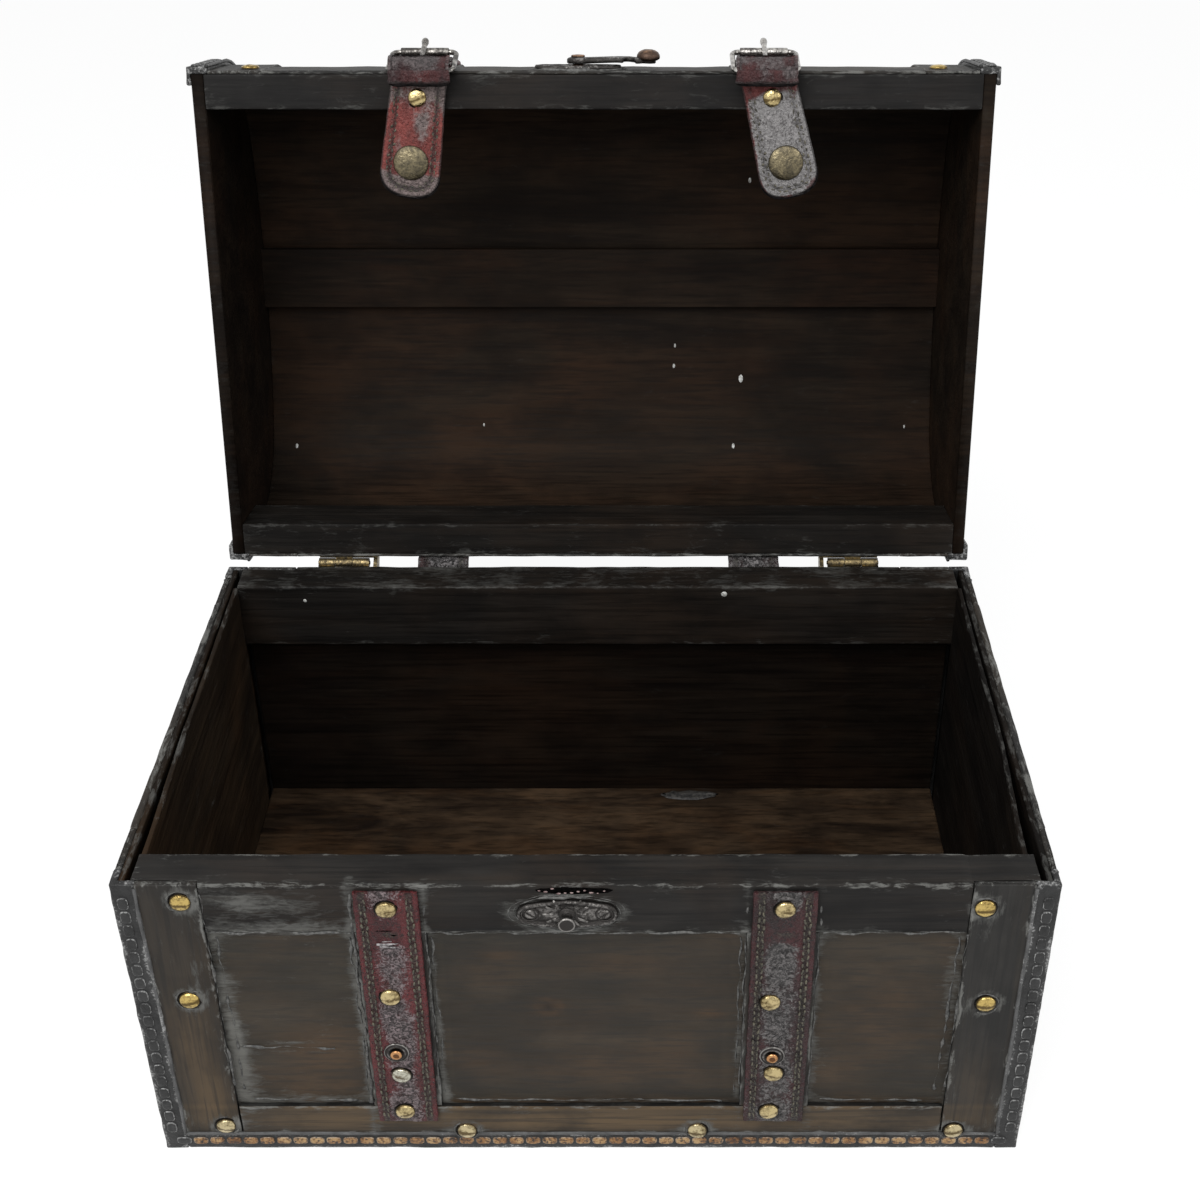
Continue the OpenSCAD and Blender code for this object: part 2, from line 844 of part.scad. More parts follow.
module buckle_tongue(side) {
    half = tongue_w / 2;
    color("#c8c6c0") on_buckle(side)
        rotate([tongue_tilt, 0, 0])
            difference() {
                union() {
                    x_rod(tongue_eye_r, half);
                    slab(-half, half, -tongue_t / 2, tongue_t / 2,
                        wire_r, buckle_len + tongue_tip);
                }
                x_rod(wire_r + pin_gap, half + 1);
            }
}

// End of the lid strap: over the strap bar, through the tongue, under the roller
module strap_tail(side) {
    bend = 180 - tail_tilt;
    tip = tail_len * [sin(tail_tilt), cos(tail_tilt)];
    outer = arc_points([0, 0], tail_in + tail_t, 246, bend, 10);
    inner = arc_points([0, 0], tail_in, bend, 246, 10);
    color("#7a5a58") on_buckle(side)
        difference() {
            along_x(-tail_half, tail_half)
                polygon(concat(outer, [outer[10] + tip, inner[0] + tip], inner));
            rotate([-tail_tilt, 0, 0])
                slab(-slot_w / 2, slot_w / 2, -2 * tail_in, 0, -1, tail_len * 0.7);
        }
}

// Leather loop over the strap beside the buckle
module keeper(side) {
    color("#6a4a48") on_buckle(side)
        along_x(-buckle_w / 2, buckle_w / 2)
            ring_sector(keeper_in, keeper_in + keeper_t, 148, 252);
}

// Flaps hang from the strap bar; their own frame has -Z down the flap, -Y outwards

module on_flap(side) {
    on_bar(side) rotate([flap_angle, 0, 0]) children();
}

function lean(side) = side < 0 ? left_lean : right_lean;

// Place on the leaning flap at a distance below the bar
module flap_place(side, d) {
    translate([d * tan(lean(side)), 0, -d]) children();
}

module flap_outline(side) {
    half = strap_w / 2;
    psi = lean(side);
    end_r = half * cos(psi);
    end_d = flap_len - end_r;
    middle = [end_d * tan(psi), -end_d];
    edge = end_r * [cos(psi), sin(psi)];
    polygon([[-half, -wire_r - 0.5], [half, -wire_r - 0.5], middle + edge, middle - edge]);
    translate(middle) circle(r = end_r);
}

module flap(side) {
    color("#8a4540") on_flap(side)
        difference() {
            union() {
                x_rod(eye_r, tail_half);
                intersection() {
                    translate([0, flap_t / 2, 0])
                        rotate([90, 0, 0]) linear_extrude(height = flap_t) flap_outline(side);
                    slab(-box_w, box_w, -flap_t, flap_t, -2 * flap_len, 0);
                }
            }
            x_rod(wire_r + pin_gap, strap_w);
            slab(-slot_w / 2, slot_w / 2, -2 * eye_r, 2 * eye_r, -tongue_eye_r - run_gap, 2 * eye_r);
            side_room();
            flap_place(side, cap_d)
                translate([0, flap_t, 0])
                    rotate([90, 0, 0]) cylinder(r = snap_r / 2, h = 2 * flap_t);
        }
}

// Room beside the flap's upper end for the buckle's side bars
module side_room() {
    both_sides()
        slab(tail_half, box_w, -2 * eye_r, 2 * eye_r, -wire_r - 2 * run_gap, 2 * eye_r);
}

module flap_nail(side) {
    color("#b8953f") on_flap(side)
        flap_place(side, flap_nail_d)
            translate([0, -flap_t / 2, 0]) rotate([90, 0, 0]) dome(nail_r, nail_h);
}

// Cap outside, a shank through the leather and a socket ring inside
module snap_cap(side) {
    socket_h = 1.4;
    color("#8a7440") on_flap(side)
        flap_place(side, cap_d)
            rotate([90, 0, 0]) {
                translate([0, 0, flap_t / 2]) dome(cap_r, cap_h);
                difference() {
                    translate([0, 0, -flap_t / 2 - socket_h]) {
                        cylinder(r = snap_r / 2 - pin_gap, h = flap_t + socket_h + 0.5);
                        cylinder(r = snap_r, h = socket_h);
                    }
                    translate([0, 0, -flap_t / 2 - socket_h - 1])
                        cylinder(r = snap_r / 2 + run_gap, h = socket_h + 0.7);
                }
            }
}

base_floor();
base_front_panel();
base_back_panel();
base_left_end();
base_right_end();
base_front_rail();
base_back_rail();
base_front_frame();
base_back_frame();
base_end_frames();
base_corner_bands();
base_bottom_bands();
base_beads();
base_front_straps();
base_back_straps();
base_nails();
snap_studs();
base_latch_plate();
latch_stud();
base_latch_screws();
base_hinge_leaves();
hinge_pins();
base_hinge_screws();
hinge_stop_tabs();
strap_folds();
lid_front_rail();
lid_back_rail();
lid_left_end();
lid_right_end();
lid_skin();
lid_crown_batten();
lid_strips();
lid_end_bands();
lid_straps();
lid_nails();
lid_latch_plate();
lid_latch_screws();
latch_rivet();
lid_hinge_leaves();
lid_hinge_screws();
latch_arm();
buckle_frame(-1);  // left_buckle_frame
buckle_roller(-1);  // left_buckle_roller
buckle_tongue(-1);  // left_buckle_tongue
strap_tail(-1);  // left_strap_tail
keeper(-1);  // left_keeper
flap(-1);  // left_flap
flap_nail(-1);  // left_flap_nail
snap_cap(-1);  // left_snap_cap
buckle_frame(1);  // right_buckle_frame
buckle_roller(1);  // right_buckle_roller
buckle_tongue(1);  // right_buckle_tongue
strap_tail(1);  // right_strap_tail
keeper(1);  // right_keeper
flap(1);  // right_flap
flap_nail(1);  // right_flap_nail
snap_cap(1);  // right_snap_cap
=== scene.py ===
"""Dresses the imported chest: worn wood, leather straps, brass and nickel fittings, camera and light."""
import json
import random
from math import copysign, cos, exp, hypot, pi, radians, sin, tan

import bpy
from mathutils import Matrix, Vector, noise

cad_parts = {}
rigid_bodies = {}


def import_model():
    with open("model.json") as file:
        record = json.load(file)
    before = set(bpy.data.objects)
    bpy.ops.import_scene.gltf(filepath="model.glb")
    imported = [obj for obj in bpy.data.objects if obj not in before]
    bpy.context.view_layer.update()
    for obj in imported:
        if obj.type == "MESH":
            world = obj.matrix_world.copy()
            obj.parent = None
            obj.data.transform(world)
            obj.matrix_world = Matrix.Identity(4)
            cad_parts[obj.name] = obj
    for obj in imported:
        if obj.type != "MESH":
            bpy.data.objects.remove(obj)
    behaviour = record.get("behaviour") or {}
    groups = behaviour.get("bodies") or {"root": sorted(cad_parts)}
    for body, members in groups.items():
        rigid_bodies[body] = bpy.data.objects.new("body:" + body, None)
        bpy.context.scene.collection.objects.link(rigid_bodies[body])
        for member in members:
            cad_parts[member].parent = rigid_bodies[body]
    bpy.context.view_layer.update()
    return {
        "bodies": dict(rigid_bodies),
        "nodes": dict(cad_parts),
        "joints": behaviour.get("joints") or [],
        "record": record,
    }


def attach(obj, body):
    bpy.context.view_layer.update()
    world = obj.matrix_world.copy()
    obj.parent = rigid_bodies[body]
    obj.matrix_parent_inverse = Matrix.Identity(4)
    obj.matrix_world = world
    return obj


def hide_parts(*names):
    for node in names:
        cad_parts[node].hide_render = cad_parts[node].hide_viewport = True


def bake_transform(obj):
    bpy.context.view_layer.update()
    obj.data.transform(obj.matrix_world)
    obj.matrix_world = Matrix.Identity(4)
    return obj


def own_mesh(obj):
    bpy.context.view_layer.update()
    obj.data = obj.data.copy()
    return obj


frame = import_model()
nodes = frame["nodes"]

# Sizes in millimetres, as in the CAD model
MM = 0.001
HALF_W, HALF_D, BASE_H = 190, 120, 157
ROOM_X, ROOM_Y, FLOOR_T = 182, 111, 18
FRAME_T, BAND = 3, 10
BOARD_X, BOARD_Y = HALF_W - FRAME_T, HALF_D - FRAME_T
RIM_Z, RAIL_Z, RAIL_TOP = 157.5, 131, 27
STILE, STRAP_X, STRAP_HALF, STRAP_T = 155, 80, 13, 2.2
WALL_H, SHOULDER_R, SHOULDER_Y = 38, 60, 60
CROWN_R, CROWN_Z, CROWN_SPAN = 289, -183, 15.19
HINGE = Vector((0, 123.2, 157.25))
LATCH_X, STUD_Z, PIVOT_Z, SCREW_X = -7.5, 142.5, 166.5, 15
POINT = 1e-6
BEAD_R, CUSHION_STEP, CUSHION_X, CUSHION_Y = 0.85, 7.4, 2.2, 3.1
SEAM_IN = 3.6
X, Y, Z = Vector((1, 0, 0)), Vector((0, 1, 0)), Vector((0, 0, 1))
AXES = (X, Y, Z)


def turn(angle, axis):
    return Matrix.Rotation(radians(angle), 4, axis)


def move(x, y, z):
    return Matrix.Translation((x, y, z))


HERE = Matrix.Identity(4)
LID = Matrix.Translation(HINGE) @ turn(-102, "X") @ Matrix.Translation(-HINGE)


def bell(away, width, power=2):
    """1 where away is nothing, falling smoothly to 0 on both sides."""
    return exp(-(away / width) ** power)


def clamp(value):
    return min(max(value, 0), 1)


def swell(value, power):
    """A power of a number that keeps its sign."""
    return copysign(abs(value) ** power, value)


def circle(turns):
    """Cosine and sine of even steps round a circle."""
    return [(cos(2 * pi * k / turns), sin(2 * pi * k / turns)) for k in range(turns)]


def cloud(point, size, seed=0):
    """Smooth noise from -1 to 1 whose lumps are about size across."""
    return noise.noise(Vector(point) / size + Vector((seed * 7.3, seed * 3.1, seed * 5.7)))


# Materials

class Paint:
    """A material made of nodes. Each method returns a socket that can feed the next one."""

    def __init__(self, name, cad=False):
        self.mat = bpy.data.materials.new(name)
        self.mat.use_nodes = True
        self.tree = self.mat.node_tree
        self.bsdf = self.tree.nodes["Principled BSDF"]
        self.cad = cad
        if cad:
            self.place = self.node("ShaderNodeTexCoord").outputs["Object"]
        else:
            self.place = self.attribute("at", "Vector")

    def node(self, kind, inputs=(), **settings):
        made = self.tree.nodes.new(kind)
        for key, value in settings.items():
            setattr(made, key, value)
        for key, value in dict(inputs).items():
            self.put(made.inputs[key], value)
        return made

    def put(self, socket, value):
        if isinstance(value, bpy.types.NodeSocket):
            self.tree.links.new(value, socket)
        elif isinstance(value, tuple) and len(value) == 3 and socket.type == "RGBA":
            socket.default_value = (*value, 1)
        else:
            socket.default_value = value

    def attribute(self, name, output="Fac"):
        return self.node("ShaderNodeAttribute", attribute_name=name).outputs[output]

    def calc(self, operation, a, b):
        made = self.node("ShaderNodeMath", operation=operation)
        self.put(made.inputs[0], a)
        self.put(made.inputs[1], b)
        return made.outputs[0]

    def times(self, a, b):
        return self.calc("MULTIPLY", a, b)

    def scaled(self, scale):
        made = self.node("ShaderNodeVectorMath", operation="MULTIPLY")
        self.put(made.inputs[0], self.place)
        made.inputs[1].default_value = scale
        return made.outputs[0]

    def noise(self, scale, detail=4.0, rough=0.55, distort=0.0):
        """Noise whose scale is in lumps per metre along each axis."""
        return self.node("ShaderNodeTexNoise", {
            "Vector": self.scaled(scale), "Scale": 1.0, "Detail": detail,
            "Roughness": rough, "Distortion": distort}).outputs["Fac"]

    def cells(self, scale, feature="F1"):
        return self.node("ShaderNodeTexVoronoi", {
            "Vector": self.scaled(scale), "Scale": 1.0}, feature=feature).outputs["Distance"]

    def ramp(self, value, *stops):
        made = self.node("ShaderNodeValToRGB", {"Fac": value})
        elements = made.color_ramp.elements
        while len(elements) < len(stops):
            elements.new(0.5)
        for element, (position, colour) in zip(elements, stops):
            element.position = position
            rgb = colour if isinstance(colour, tuple) else (colour,) * 3
            element.color = (*rgb, 1)
        return made.outputs["Color"]

    def between(self, value, low, high, top=1.0):
        """0 where the value is at low, top at high, and straight between them."""
        return self.node("ShaderNodeMapRange", {
            "Value": value, "From Min": low, "From Max": high, "To Min": 0.0, "To Max": top}).outputs[0]

    def plus(self, *values):
        """Adds sockets and numbers."""
        total = values[0]
        for value in values[1:]:
            total = self.calc("ADD", total, value)
        return total

    def swing(self, value, amount):
        """A noise turned into a push either way round nothing."""
        return self.times(self.calc("SUBTRACT", value, 0.5), amount)

    def mix(self, factor, a, b):
        made = self.node("ShaderNodeMix", data_type="RGBA")
        self.put(made.inputs[0], factor)
        self.put(made.inputs[6], a)
        self.put(made.inputs[7], b)
        return made.outputs[2]

    def done(self, colour, rough, bump=None, height=0.0002, metallic=0.0, specular=0.5):
        self.put(self.bsdf.inputs["Base Color"], colour)
        self.put(self.bsdf.inputs["Roughness"], rough)
        self.bsdf.inputs["Metallic"].default_value = metallic
        self.bsdf.inputs["Specular IOR Level"].default_value = specular
        if bump is not None:
            made = self.node("ShaderNodeBump", {"Strength": 1.0, "Distance": height, "Height": bump})
            self.put(self.bsdf.inputs["Normal"], made.outputs["Normal"])
        return self.mat


def shade(colour, factor):
    return tuple(c * factor for c in colour)


def wood(name, dark, light, warm, patina=0.8, grey=(0.08, 0.08, 0.075), gloss=0.12, cad=False, chips=0.5,
         warmth=0.5, run=4.0, rugged=2.2):
    """Stained wood with its grain along the third texture axis and wax where toned or worn.

    A stain brings out the warm colour, and a tone below nothing is painted shade, nearly black, for gaps and
    the frame's shaded sides."""
    p = Paint(name, cad)
    scales = [(60.0, 60.0, run), (480.0, 480.0, 5 * run), (11.0, 11.0, 7.0), (170.0, 170.0, 2 * run),
              (38.0, 38.0, 26.0)]
    if cad:
        scales = [scale[::-1] for scale in scales]
    grain = p.noise(scales[0], 6.0, 0.68, 0.8)
    fibre = p.noise(scales[1], 3.0, 0.6)
    patch = p.noise(scales[2], 4.0, 0.6, 0.5)
    streak = p.noise(scales[3], 3.0, 0.6, 0.4)
    blot = p.noise(scales[4], 4.0, 0.6)
    colour = p.ramp(grain, (0.36, dark), (0.62, light))
    amount = p.plus(p.between(patch, 0.46, 0.64, warmth), p.between(streak, 0.52, 0.72, 0.4 * warmth))
    if not cad:
        amount = p.plus(amount, p.attribute("stain"))
    colour = p.mix(p.between(amount, 0.0, 1.0), colour, warm)
    colour = p.mix(p.between(blot, 0.56, 0.36, 0.55), colour, shade(dark, 0.7))
    colour = p.mix(p.between(fibre, 0.52, 0.36, 0.5), colour, shade(dark, 0.5))
    rough = p.ramp(fibre, (0.3, 0.5), (0.7, 0.7))
    high = p.plus(p.times(grain, 0.6), p.times(fibre, 0.5))
    if not cad:
        tone, wear = p.attribute("tone"), p.attribute("wear")
        soft = p.noise((62.0, 62.0, 50.0), 6.0, 0.7, 0.4)
        dry = p.noise((520.0, 520.0, 120.0), 4.0, 0.7, 0.8)
        loose = p.plus(p.swing(soft, rugged), p.swing(dry, rugged))
        amount = p.plus(tone, p.times(wear, 0.3), loose)
        mask = p.between(amount, 0.38, 1.0, patina)
        silver = p.mix(p.between(amount, 0.85, 1.4), grey, shade(grey, 1.7))
        colour = p.mix(mask, colour, silver)
        chip = p.between(p.plus(wear, p.times(loose, 0.7)), 0.98, 1.2, chips)
        colour = p.mix(chip, colour, shade(grey, 2.6))
        # Painted shade: a tone below nothing turns the wood nearly black.
        colour = p.mix(p.between(tone, -0.2, -0.8, 0.85), colour, (0.003, 0.003, 0.003))
        high = p.plus(high, p.times(mask, 0.4))
    return p.done(colour, rough, high, 0.0003, specular=gloss)


def leather(name, deep, bright, worn, speckle=2.2, spread=(0.22, 2.3), crack=0.6, sewn=(0.058, 0.052, 0.038),
            pitted=0.85):
    """Leather rubbed to a cracked grey where toned, and dark where stained: dirt in the sewn channels
    deepened as painted shade, and painted shadow where a strap folds and where a flap hangs under its
    keeper.
    """
    p = Paint(name)
    stain = p.noise((70.0, 70.0, 40.0), 4.0, 0.6)
    mottle = p.noise((500.0, 500.0, 500.0), 4.0, 0.65, 1.2)
    broad = p.noise((80.0, 80.0, 50.0), 4.0, 0.6, 0.5)
    pits = p.cells((620.0, 620.0, 620.0))
    pebbles = p.cells((900.0, 900.0, 900.0))
    cracks = p.cells((520.0, 520.0, 520.0), "DISTANCE_TO_EDGE")
    colour = p.ramp(stain, (0.36, deep), (0.62, bright))
    rub = p.plus(p.attribute("tone"), p.swing(broad, 2.0), p.swing(mottle, speckle))
    mask = p.between(rub, 0.4, 0.72)
    rubbed = p.ramp(mottle, (0.41, shade(worn, spread[0])), (0.5, worn), (0.6, shade(worn, spread[1])))
    rubbed = p.mix(p.between(p.plus(cracks, p.swing(mottle, 0.4)), 0.12, 0.02, crack), rubbed,
                   shade(worn, 0.16))
    colour = p.mix(mask, colour, rubbed)
    colour = p.mix(p.between(mottle, 0.46, 0.38, pitted), colour, shade(deep, 0.15))
    # Dirt and painted shade: where stained, the leather darkens, in the sewn channels and in painted
    # shadows.
    channel_dirt_and_shade = p.between(p.plus(p.attribute("stain"), p.swing(mottle, 2.2)), 0.4, 0.75, 0.8)
    colour = p.mix(channel_dirt_and_shade, colour, p.ramp(pebbles, (0.25, sewn), (0.55, (0.011, 0.009, 0.008))))
    high = p.plus(p.times(pits, 0.5), p.times(mottle, 1.8), p.times(pebbles, 0.3))
    return p.done(colour, p.ramp(mottle, (0.3, 0.32), (0.7, 0.6)), high, 0.0009, specular=0.3)


def metal(name, bright, dull, smooth=0.22, coarse=0.45, share=0.5, cad=False, pale=None, bump=0.00012):
    """Plated metal, dulled by oxide in patches and where toned, paler where stained, and painted nearly
    black as shade where the tone is highest.
    """
    p = Paint(name, cad)
    patch = p.noise((190.0, 190.0, 190.0), 5.0, 0.7, 0.5)
    fine = p.noise((900.0, 900.0, 900.0), 3.0, 0.6)
    amount = p.plus(patch, p.swing(fine, 0.5))
    colour = bright
    if not cad:
        tone = p.attribute("tone")
        amount = p.plus(amount, p.times(tone, 0.35))
    if pale:
        colour = p.mix(p.attribute("stain"), bright, pale)
    mask = p.between(amount, share - 0.1, share + 0.14, 0.9)
    rough = p.between(mask, 0.0, 1.0, coarse - smooth)
    colour = p.mix(mask, colour, dull)
    if not cad:
        # Painted shade: above a tone of 1.3 the metal turns nearly black, as the shadow ring round each nail
        # head and under the latch knob; the snap rings' grooves and holes, the rivet's hollow and the feet
        # of posts and screw rings go dark the same way.
        colour = p.mix(p.between(tone, 1.3, 2.0), colour, (0.008, 0.007, 0.006))
    return p.done(colour, p.plus(rough, smooth), p.plus(fine, p.times(patch, 1.5)), bump, metallic=1.0)


def trim(name, low=0.008, high=0.025, start=0.97):
    """Embossed imitation leather: nearly black, chipped to pale grey on high edges, copper where toned."""
    p = Paint(name)
    patch = p.noise((110.0, 110.0, 60.0), 5.0, 0.65)
    fine = p.noise((800.0, 800.0, 800.0), 4.0, 0.65)
    colour = p.ramp(patch, (0.35, low), (0.62, high))
    amount = p.plus(p.attribute("wear"), p.swing(fine, 1.3), p.swing(patch, 1.7))
    chips = p.ramp(fine, (0.38, (0.085, 0.085, 0.085)), (0.62, (0.33, 0.33, 0.325)))
    colour = p.mix(p.between(amount, start, start + 0.28, 0.9), colour, chips)
    warm = p.times(p.attribute("tone"), p.between(fine, 0.36, 0.5))
    copper = p.ramp(p.plus(p.times(patch, 0.6), p.times(fine, 0.4)), (0.4, (0.105, 0.043, 0.014)),
                    (0.5, (0.265, 0.135, 0.05)), (0.6, (0.44, 0.29, 0.14)))
    colour = p.mix(warm, colour, copper)
    return p.done(colour, p.ramp(fine, (0.3, 0.3), (0.7, 0.58)), fine, 0.0003, specular=0.3)


def plain(name, colour, other, rough=0.6, specular=0.5):
    p = Paint(name)
    grains = p.noise((600.0, 600.0, 600.0), 3.0, 0.6)
    return p.done(p.ramp(grains, (0.38, colour), (0.6, other)), rough, grains, 0.0002, specular=specular)


FRAME_WOOD = wood("frame_wood", (0.0125, 0.0122, 0.0118), (0.028, 0.0265, 0.0245), (0.1, 0.068, 0.038),
                  gloss=0.2, warmth=0.2)
RAIL_WOOD = wood("rail_wood", (0.009, 0.0086, 0.0084), (0.024, 0.022, 0.02), (0.036, 0.024, 0.016), 0.7)
LID_RAIL = wood("lid_rail_wood", (0.0058, 0.0056, 0.0056), (0.0145, 0.0137, 0.0132), (0.022, 0.016, 0.012),
                0.4, chips=0.1)
INNER_RAIL = wood("inner_rail_wood", (0.0055, 0.005, 0.0046), (0.015, 0.013, 0.0112),
                  (0.022, 0.014, 0.009), 0.5, gloss=0.08, chips=0.08)
PANEL_WOOD = wood("panel_wood", (0.0195, 0.017, 0.0128), (0.036, 0.03, 0.0218), (0.078, 0.044, 0.021),
                  0.8, (0.085, 0.084, 0.077), gloss=0.25, warmth=0.3, run=9.0, rugged=1.9)
BACK_WOOD = wood("back_wood", (0.004, 0.0029, 0.0023), (0.012, 0.0085, 0.006), (0.019, 0.01, 0.0056),
                 0.1, gloss=0.05, chips=0.0)
INSIDE_WOOD = wood("inside_wood", (0.008, 0.0058, 0.0045), (0.0185, 0.013, 0.0088),
                   (0.034, 0.0175, 0.0095), 0.15, gloss=0.05, chips=0.0, run=6.0)
LINER_WOOD = wood("liner_wood", (0.008, 0.0058, 0.0045), (0.026, 0.018, 0.0115), (0.04, 0.022, 0.011),
                  0.5, gloss=0.05, chips=0.2)
RIGHT_LINER = wood("right_liner_wood", (0.0035, 0.003, 0.0028), (0.0095, 0.008, 0.0068),
                   (0.014, 0.009, 0.006), 0.35, gloss=0.05, chips=0.15)
END_WOOD = wood("lid_end_wood", (0.005, 0.0036, 0.0029), (0.0115, 0.008, 0.0056), (0.02, 0.0105, 0.006),
                0.15, gloss=0.05, chips=0.0, run=6.0)
FLOOR_WOOD = wood("floor_wood", (0.011, 0.007, 0.0048), (0.06, 0.038, 0.022), (0.105, 0.052, 0.022), 0.2,
                  gloss=0.08, chips=0.0, run=12.0)
BATTEN_WOOD = wood("batten_wood", (0.007, 0.005, 0.0038), (0.018, 0.0122, 0.0082), (0.032, 0.015, 0.008),
                   gloss=0.05, cad=True, run=6.0)
LEFT_STRAP = leather("left_strap_leather", (0.044, 0.008, 0.009), (0.108, 0.017, 0.019),
                     (0.094, 0.074, 0.076))
RIGHT_STRAP = leather("right_strap_leather", (0.018, 0.0072, 0.0078), (0.05, 0.0115, 0.013),
                      (0.067, 0.062, 0.061))
FOLD_LEATHER = leather("fold_leather", (0.016, 0.008, 0.008), (0.04, 0.018, 0.018),
                       (0.075, 0.07, 0.07))
LEFT_LEATHER = leather("left_leather", (0.095, 0.024, 0.021), (0.235, 0.056, 0.048), (0.165, 0.128, 0.122),
                       speckle=0.8, spread=(0.65, 1.35), crack=0.12, sewn=(0.014, 0.011, 0.01), pitted=0.4)
RIGHT_LEATHER = leather("right_leather", (0.07, 0.02, 0.019), (0.19, 0.04, 0.036),
                        (0.24, 0.23, 0.228), speckle=0.6, spread=(0.74, 1.18), crack=0.12,
                        sewn=(0.016, 0.014, 0.013), pitted=0.4)
TAIL_LEATHER = leather("tail_leather", (0.026, 0.012, 0.011), (0.06, 0.026, 0.023),
                       (0.085, 0.072, 0.064), speckle=1.6, spread=(0.45, 1.7), crack=0.3)
KEEPER_LEATHER = leather("keeper_leather", (0.026, 0.011, 0.012), (0.08, 0.021, 0.021),
                         (0.078, 0.064, 0.064), speckle=1.0, spread=(0.6, 1.5), crack=0.15,
                         sewn=(0.012, 0.01, 0.01), pitted=0.3)
THREAD = plain("thread", (0.012, 0.011, 0.008), (0.105, 0.094, 0.066))
TRIM = trim("edge_band")
BEADS = trim("bead_ridge", 0.03, 0.105, 1.12)
NAIL_BRASS = metal("nail_brass", (0.52, 0.38, 0.13), (0.075, 0.048, 0.018), 0.12, 0.42, 0.555,
                   pale=(0.46, 0.46, 0.39), bump=0.0002)
SNAP_BRASS = metal("snap_brass", (0.215, 0.18, 0.11), (0.075, 0.066, 0.048), 0.3, 0.55, 0.48, bump=0.0003)
HINGE_BRASS = metal("hinge_brass", (0.26, 0.2, 0.1), (0.03, 0.025, 0.02), 0.3, 0.55, 0.45, cad=True)
DARK_CAD = metal("dark_cad", (0.16, 0.15, 0.14), (0.03, 0.03, 0.03), 0.35, 0.6, 0.5, cad=True)
LATCH_METAL = metal("latch_metal", (0.21, 0.2, 0.19), (0.022, 0.02, 0.019), 0.28, 0.55, 0.46, bump=0.0003)
COPPER = metal("copper", (0.34, 0.2, 0.12), (0.04, 0.029, 0.025), 0.25, 0.5, 0.46, bump=0.0002)
SNAP_COPPER = metal("snap_copper", (0.48, 0.25, 0.11), (0.09, 0.04, 0.018), 0.25, 0.45, 0.58)
NICKEL = metal("nickel", (0.55, 0.53, 0.5), (0.045, 0.04, 0.037), 0.14, 0.4, 0.5)
DARK_NICKEL = metal("dark_nickel", (0.42, 0.4, 0.37), (0.022, 0.019, 0.018), 0.2, 0.45, 0.43)
SPECK = plain("glue", (0.3, 0.3, 0.28), (0.62, 0.62, 0.6))
WAX = plain("wax", (0.03, 0.03, 0.029), (0.105, 0.104, 0.098), 0.6)
GAP_SHADE = plain("gap_shade", (0.0015, 0.0015, 0.0015), (0.004, 0.0035, 0.0035), 0.95, 0.0)
DARK_RIM = plain("dark_rim", (0.0025, 0.0022, 0.0022), (0.012, 0.01, 0.01), 0.85, 0.06)
SHINE = plain("shine", (0.085, 0.078, 0.08), (0.36, 0.34, 0.34))
PINK = plain("pink_splinter", (0.12, 0.07, 0.07), (0.34, 0.25, 0.24))
FLAKE = plain("flake", (0.004, 0.004, 0.004), (0.045, 0.042, 0.038))


# Mesh building

def new_object(name, data):
    obj = bpy.data.objects.new(name, data)
    bpy.context.scene.collection.objects.link(obj)
    return obj


class Piece:
    """Gathers the faces of one piece. Each vertex keeps its texture place, its wear, tone and stain."""

    def __init__(self, matrix=HERE):
        self.matrix = matrix
        self.points, self.faces = [], []
        self.at, self.wear, self.tone, self.stain = [], [], [], []

    def add(self, point, at=None, wear=0.0, tone=0.0, stain=0.0):
        self.points.append(self.matrix @ Vector(point))
        self.at.append(Vector(point if at is None else at))
        self.wear.append(wear)
        if isinstance(tone, tuple):
            tone, stain = tone
        self.tone.append(tone)
        self.stain.append(stain)
        return len(self.points) - 1

    def skin(self, rings, bottom=True, top=True, closed=False):
        """Joins neighbouring rings with faces; a ring may be a single point."""
        pairs = list(zip(rings, rings[1:])) + ([(rings[-1], rings[0])] if closed else [])
        for one, two in pairs:
            turns = max(len(one), len(two))
            for k in range(turns):
                j = (k + 1) % turns
                corners = (one[k % len(one)], one[j % len(one)], two[j % len(two)], two[k % len(two)])
                self.faces.append(tuple(dict.fromkeys(corners)))
        if bottom:
            self.faces.append(tuple(reversed(rings[0])))
        if top:
            self.faces.append(tuple(rings[-1]))

    def finish(self, name, material, body, slot, *replaced):
        mesh = bpy.data.meshes.new(name)
        mesh.from_pydata([p * MM for p in self.points], [], self.faces)
        for key, kind, values in (
                ("at", "FLOAT_VECTOR", [c * MM for p in self.at for c in p]),
                ("wear", "FLOAT", self.wear), ("tone", "FLOAT", self.tone), ("stain", "FLOAT", self.stain)):
            data = mesh.attributes.new(key, kind, "POINT").data
            data.foreach_set("vector" if kind == "FLOAT_VECTOR" else "value", values)
        mesh.polygons.foreach_set("use_smooth", [True] * len(mesh.polygons))
        mesh.materials.append(material)
        obj = new_object(name, mesh)
        if isinstance(body, str):
            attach(obj, body)
        if replaced:
            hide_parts(*replaced)
        return obj


def fall(distance, reach=3.0):
    return exp(-max(distance, 0.0) / reach)


def marks(length, step):
    """Places along a side, closer together near both ends."""
    if step < 2 and length > 1.5:
        count = max(2, round(length / step))
        return [length * k / count for k in range(1, count)]
    if length < 10:
        return [length * k / 3 for k in (1, 2)] if length > 1.5 else []
    inner = max(1, round((length - 8) / step))
    return [1.5, 4] + [4 + (length - 8) * k / inner for k in range(1, inner)] + [length - 4, length - 1.5]


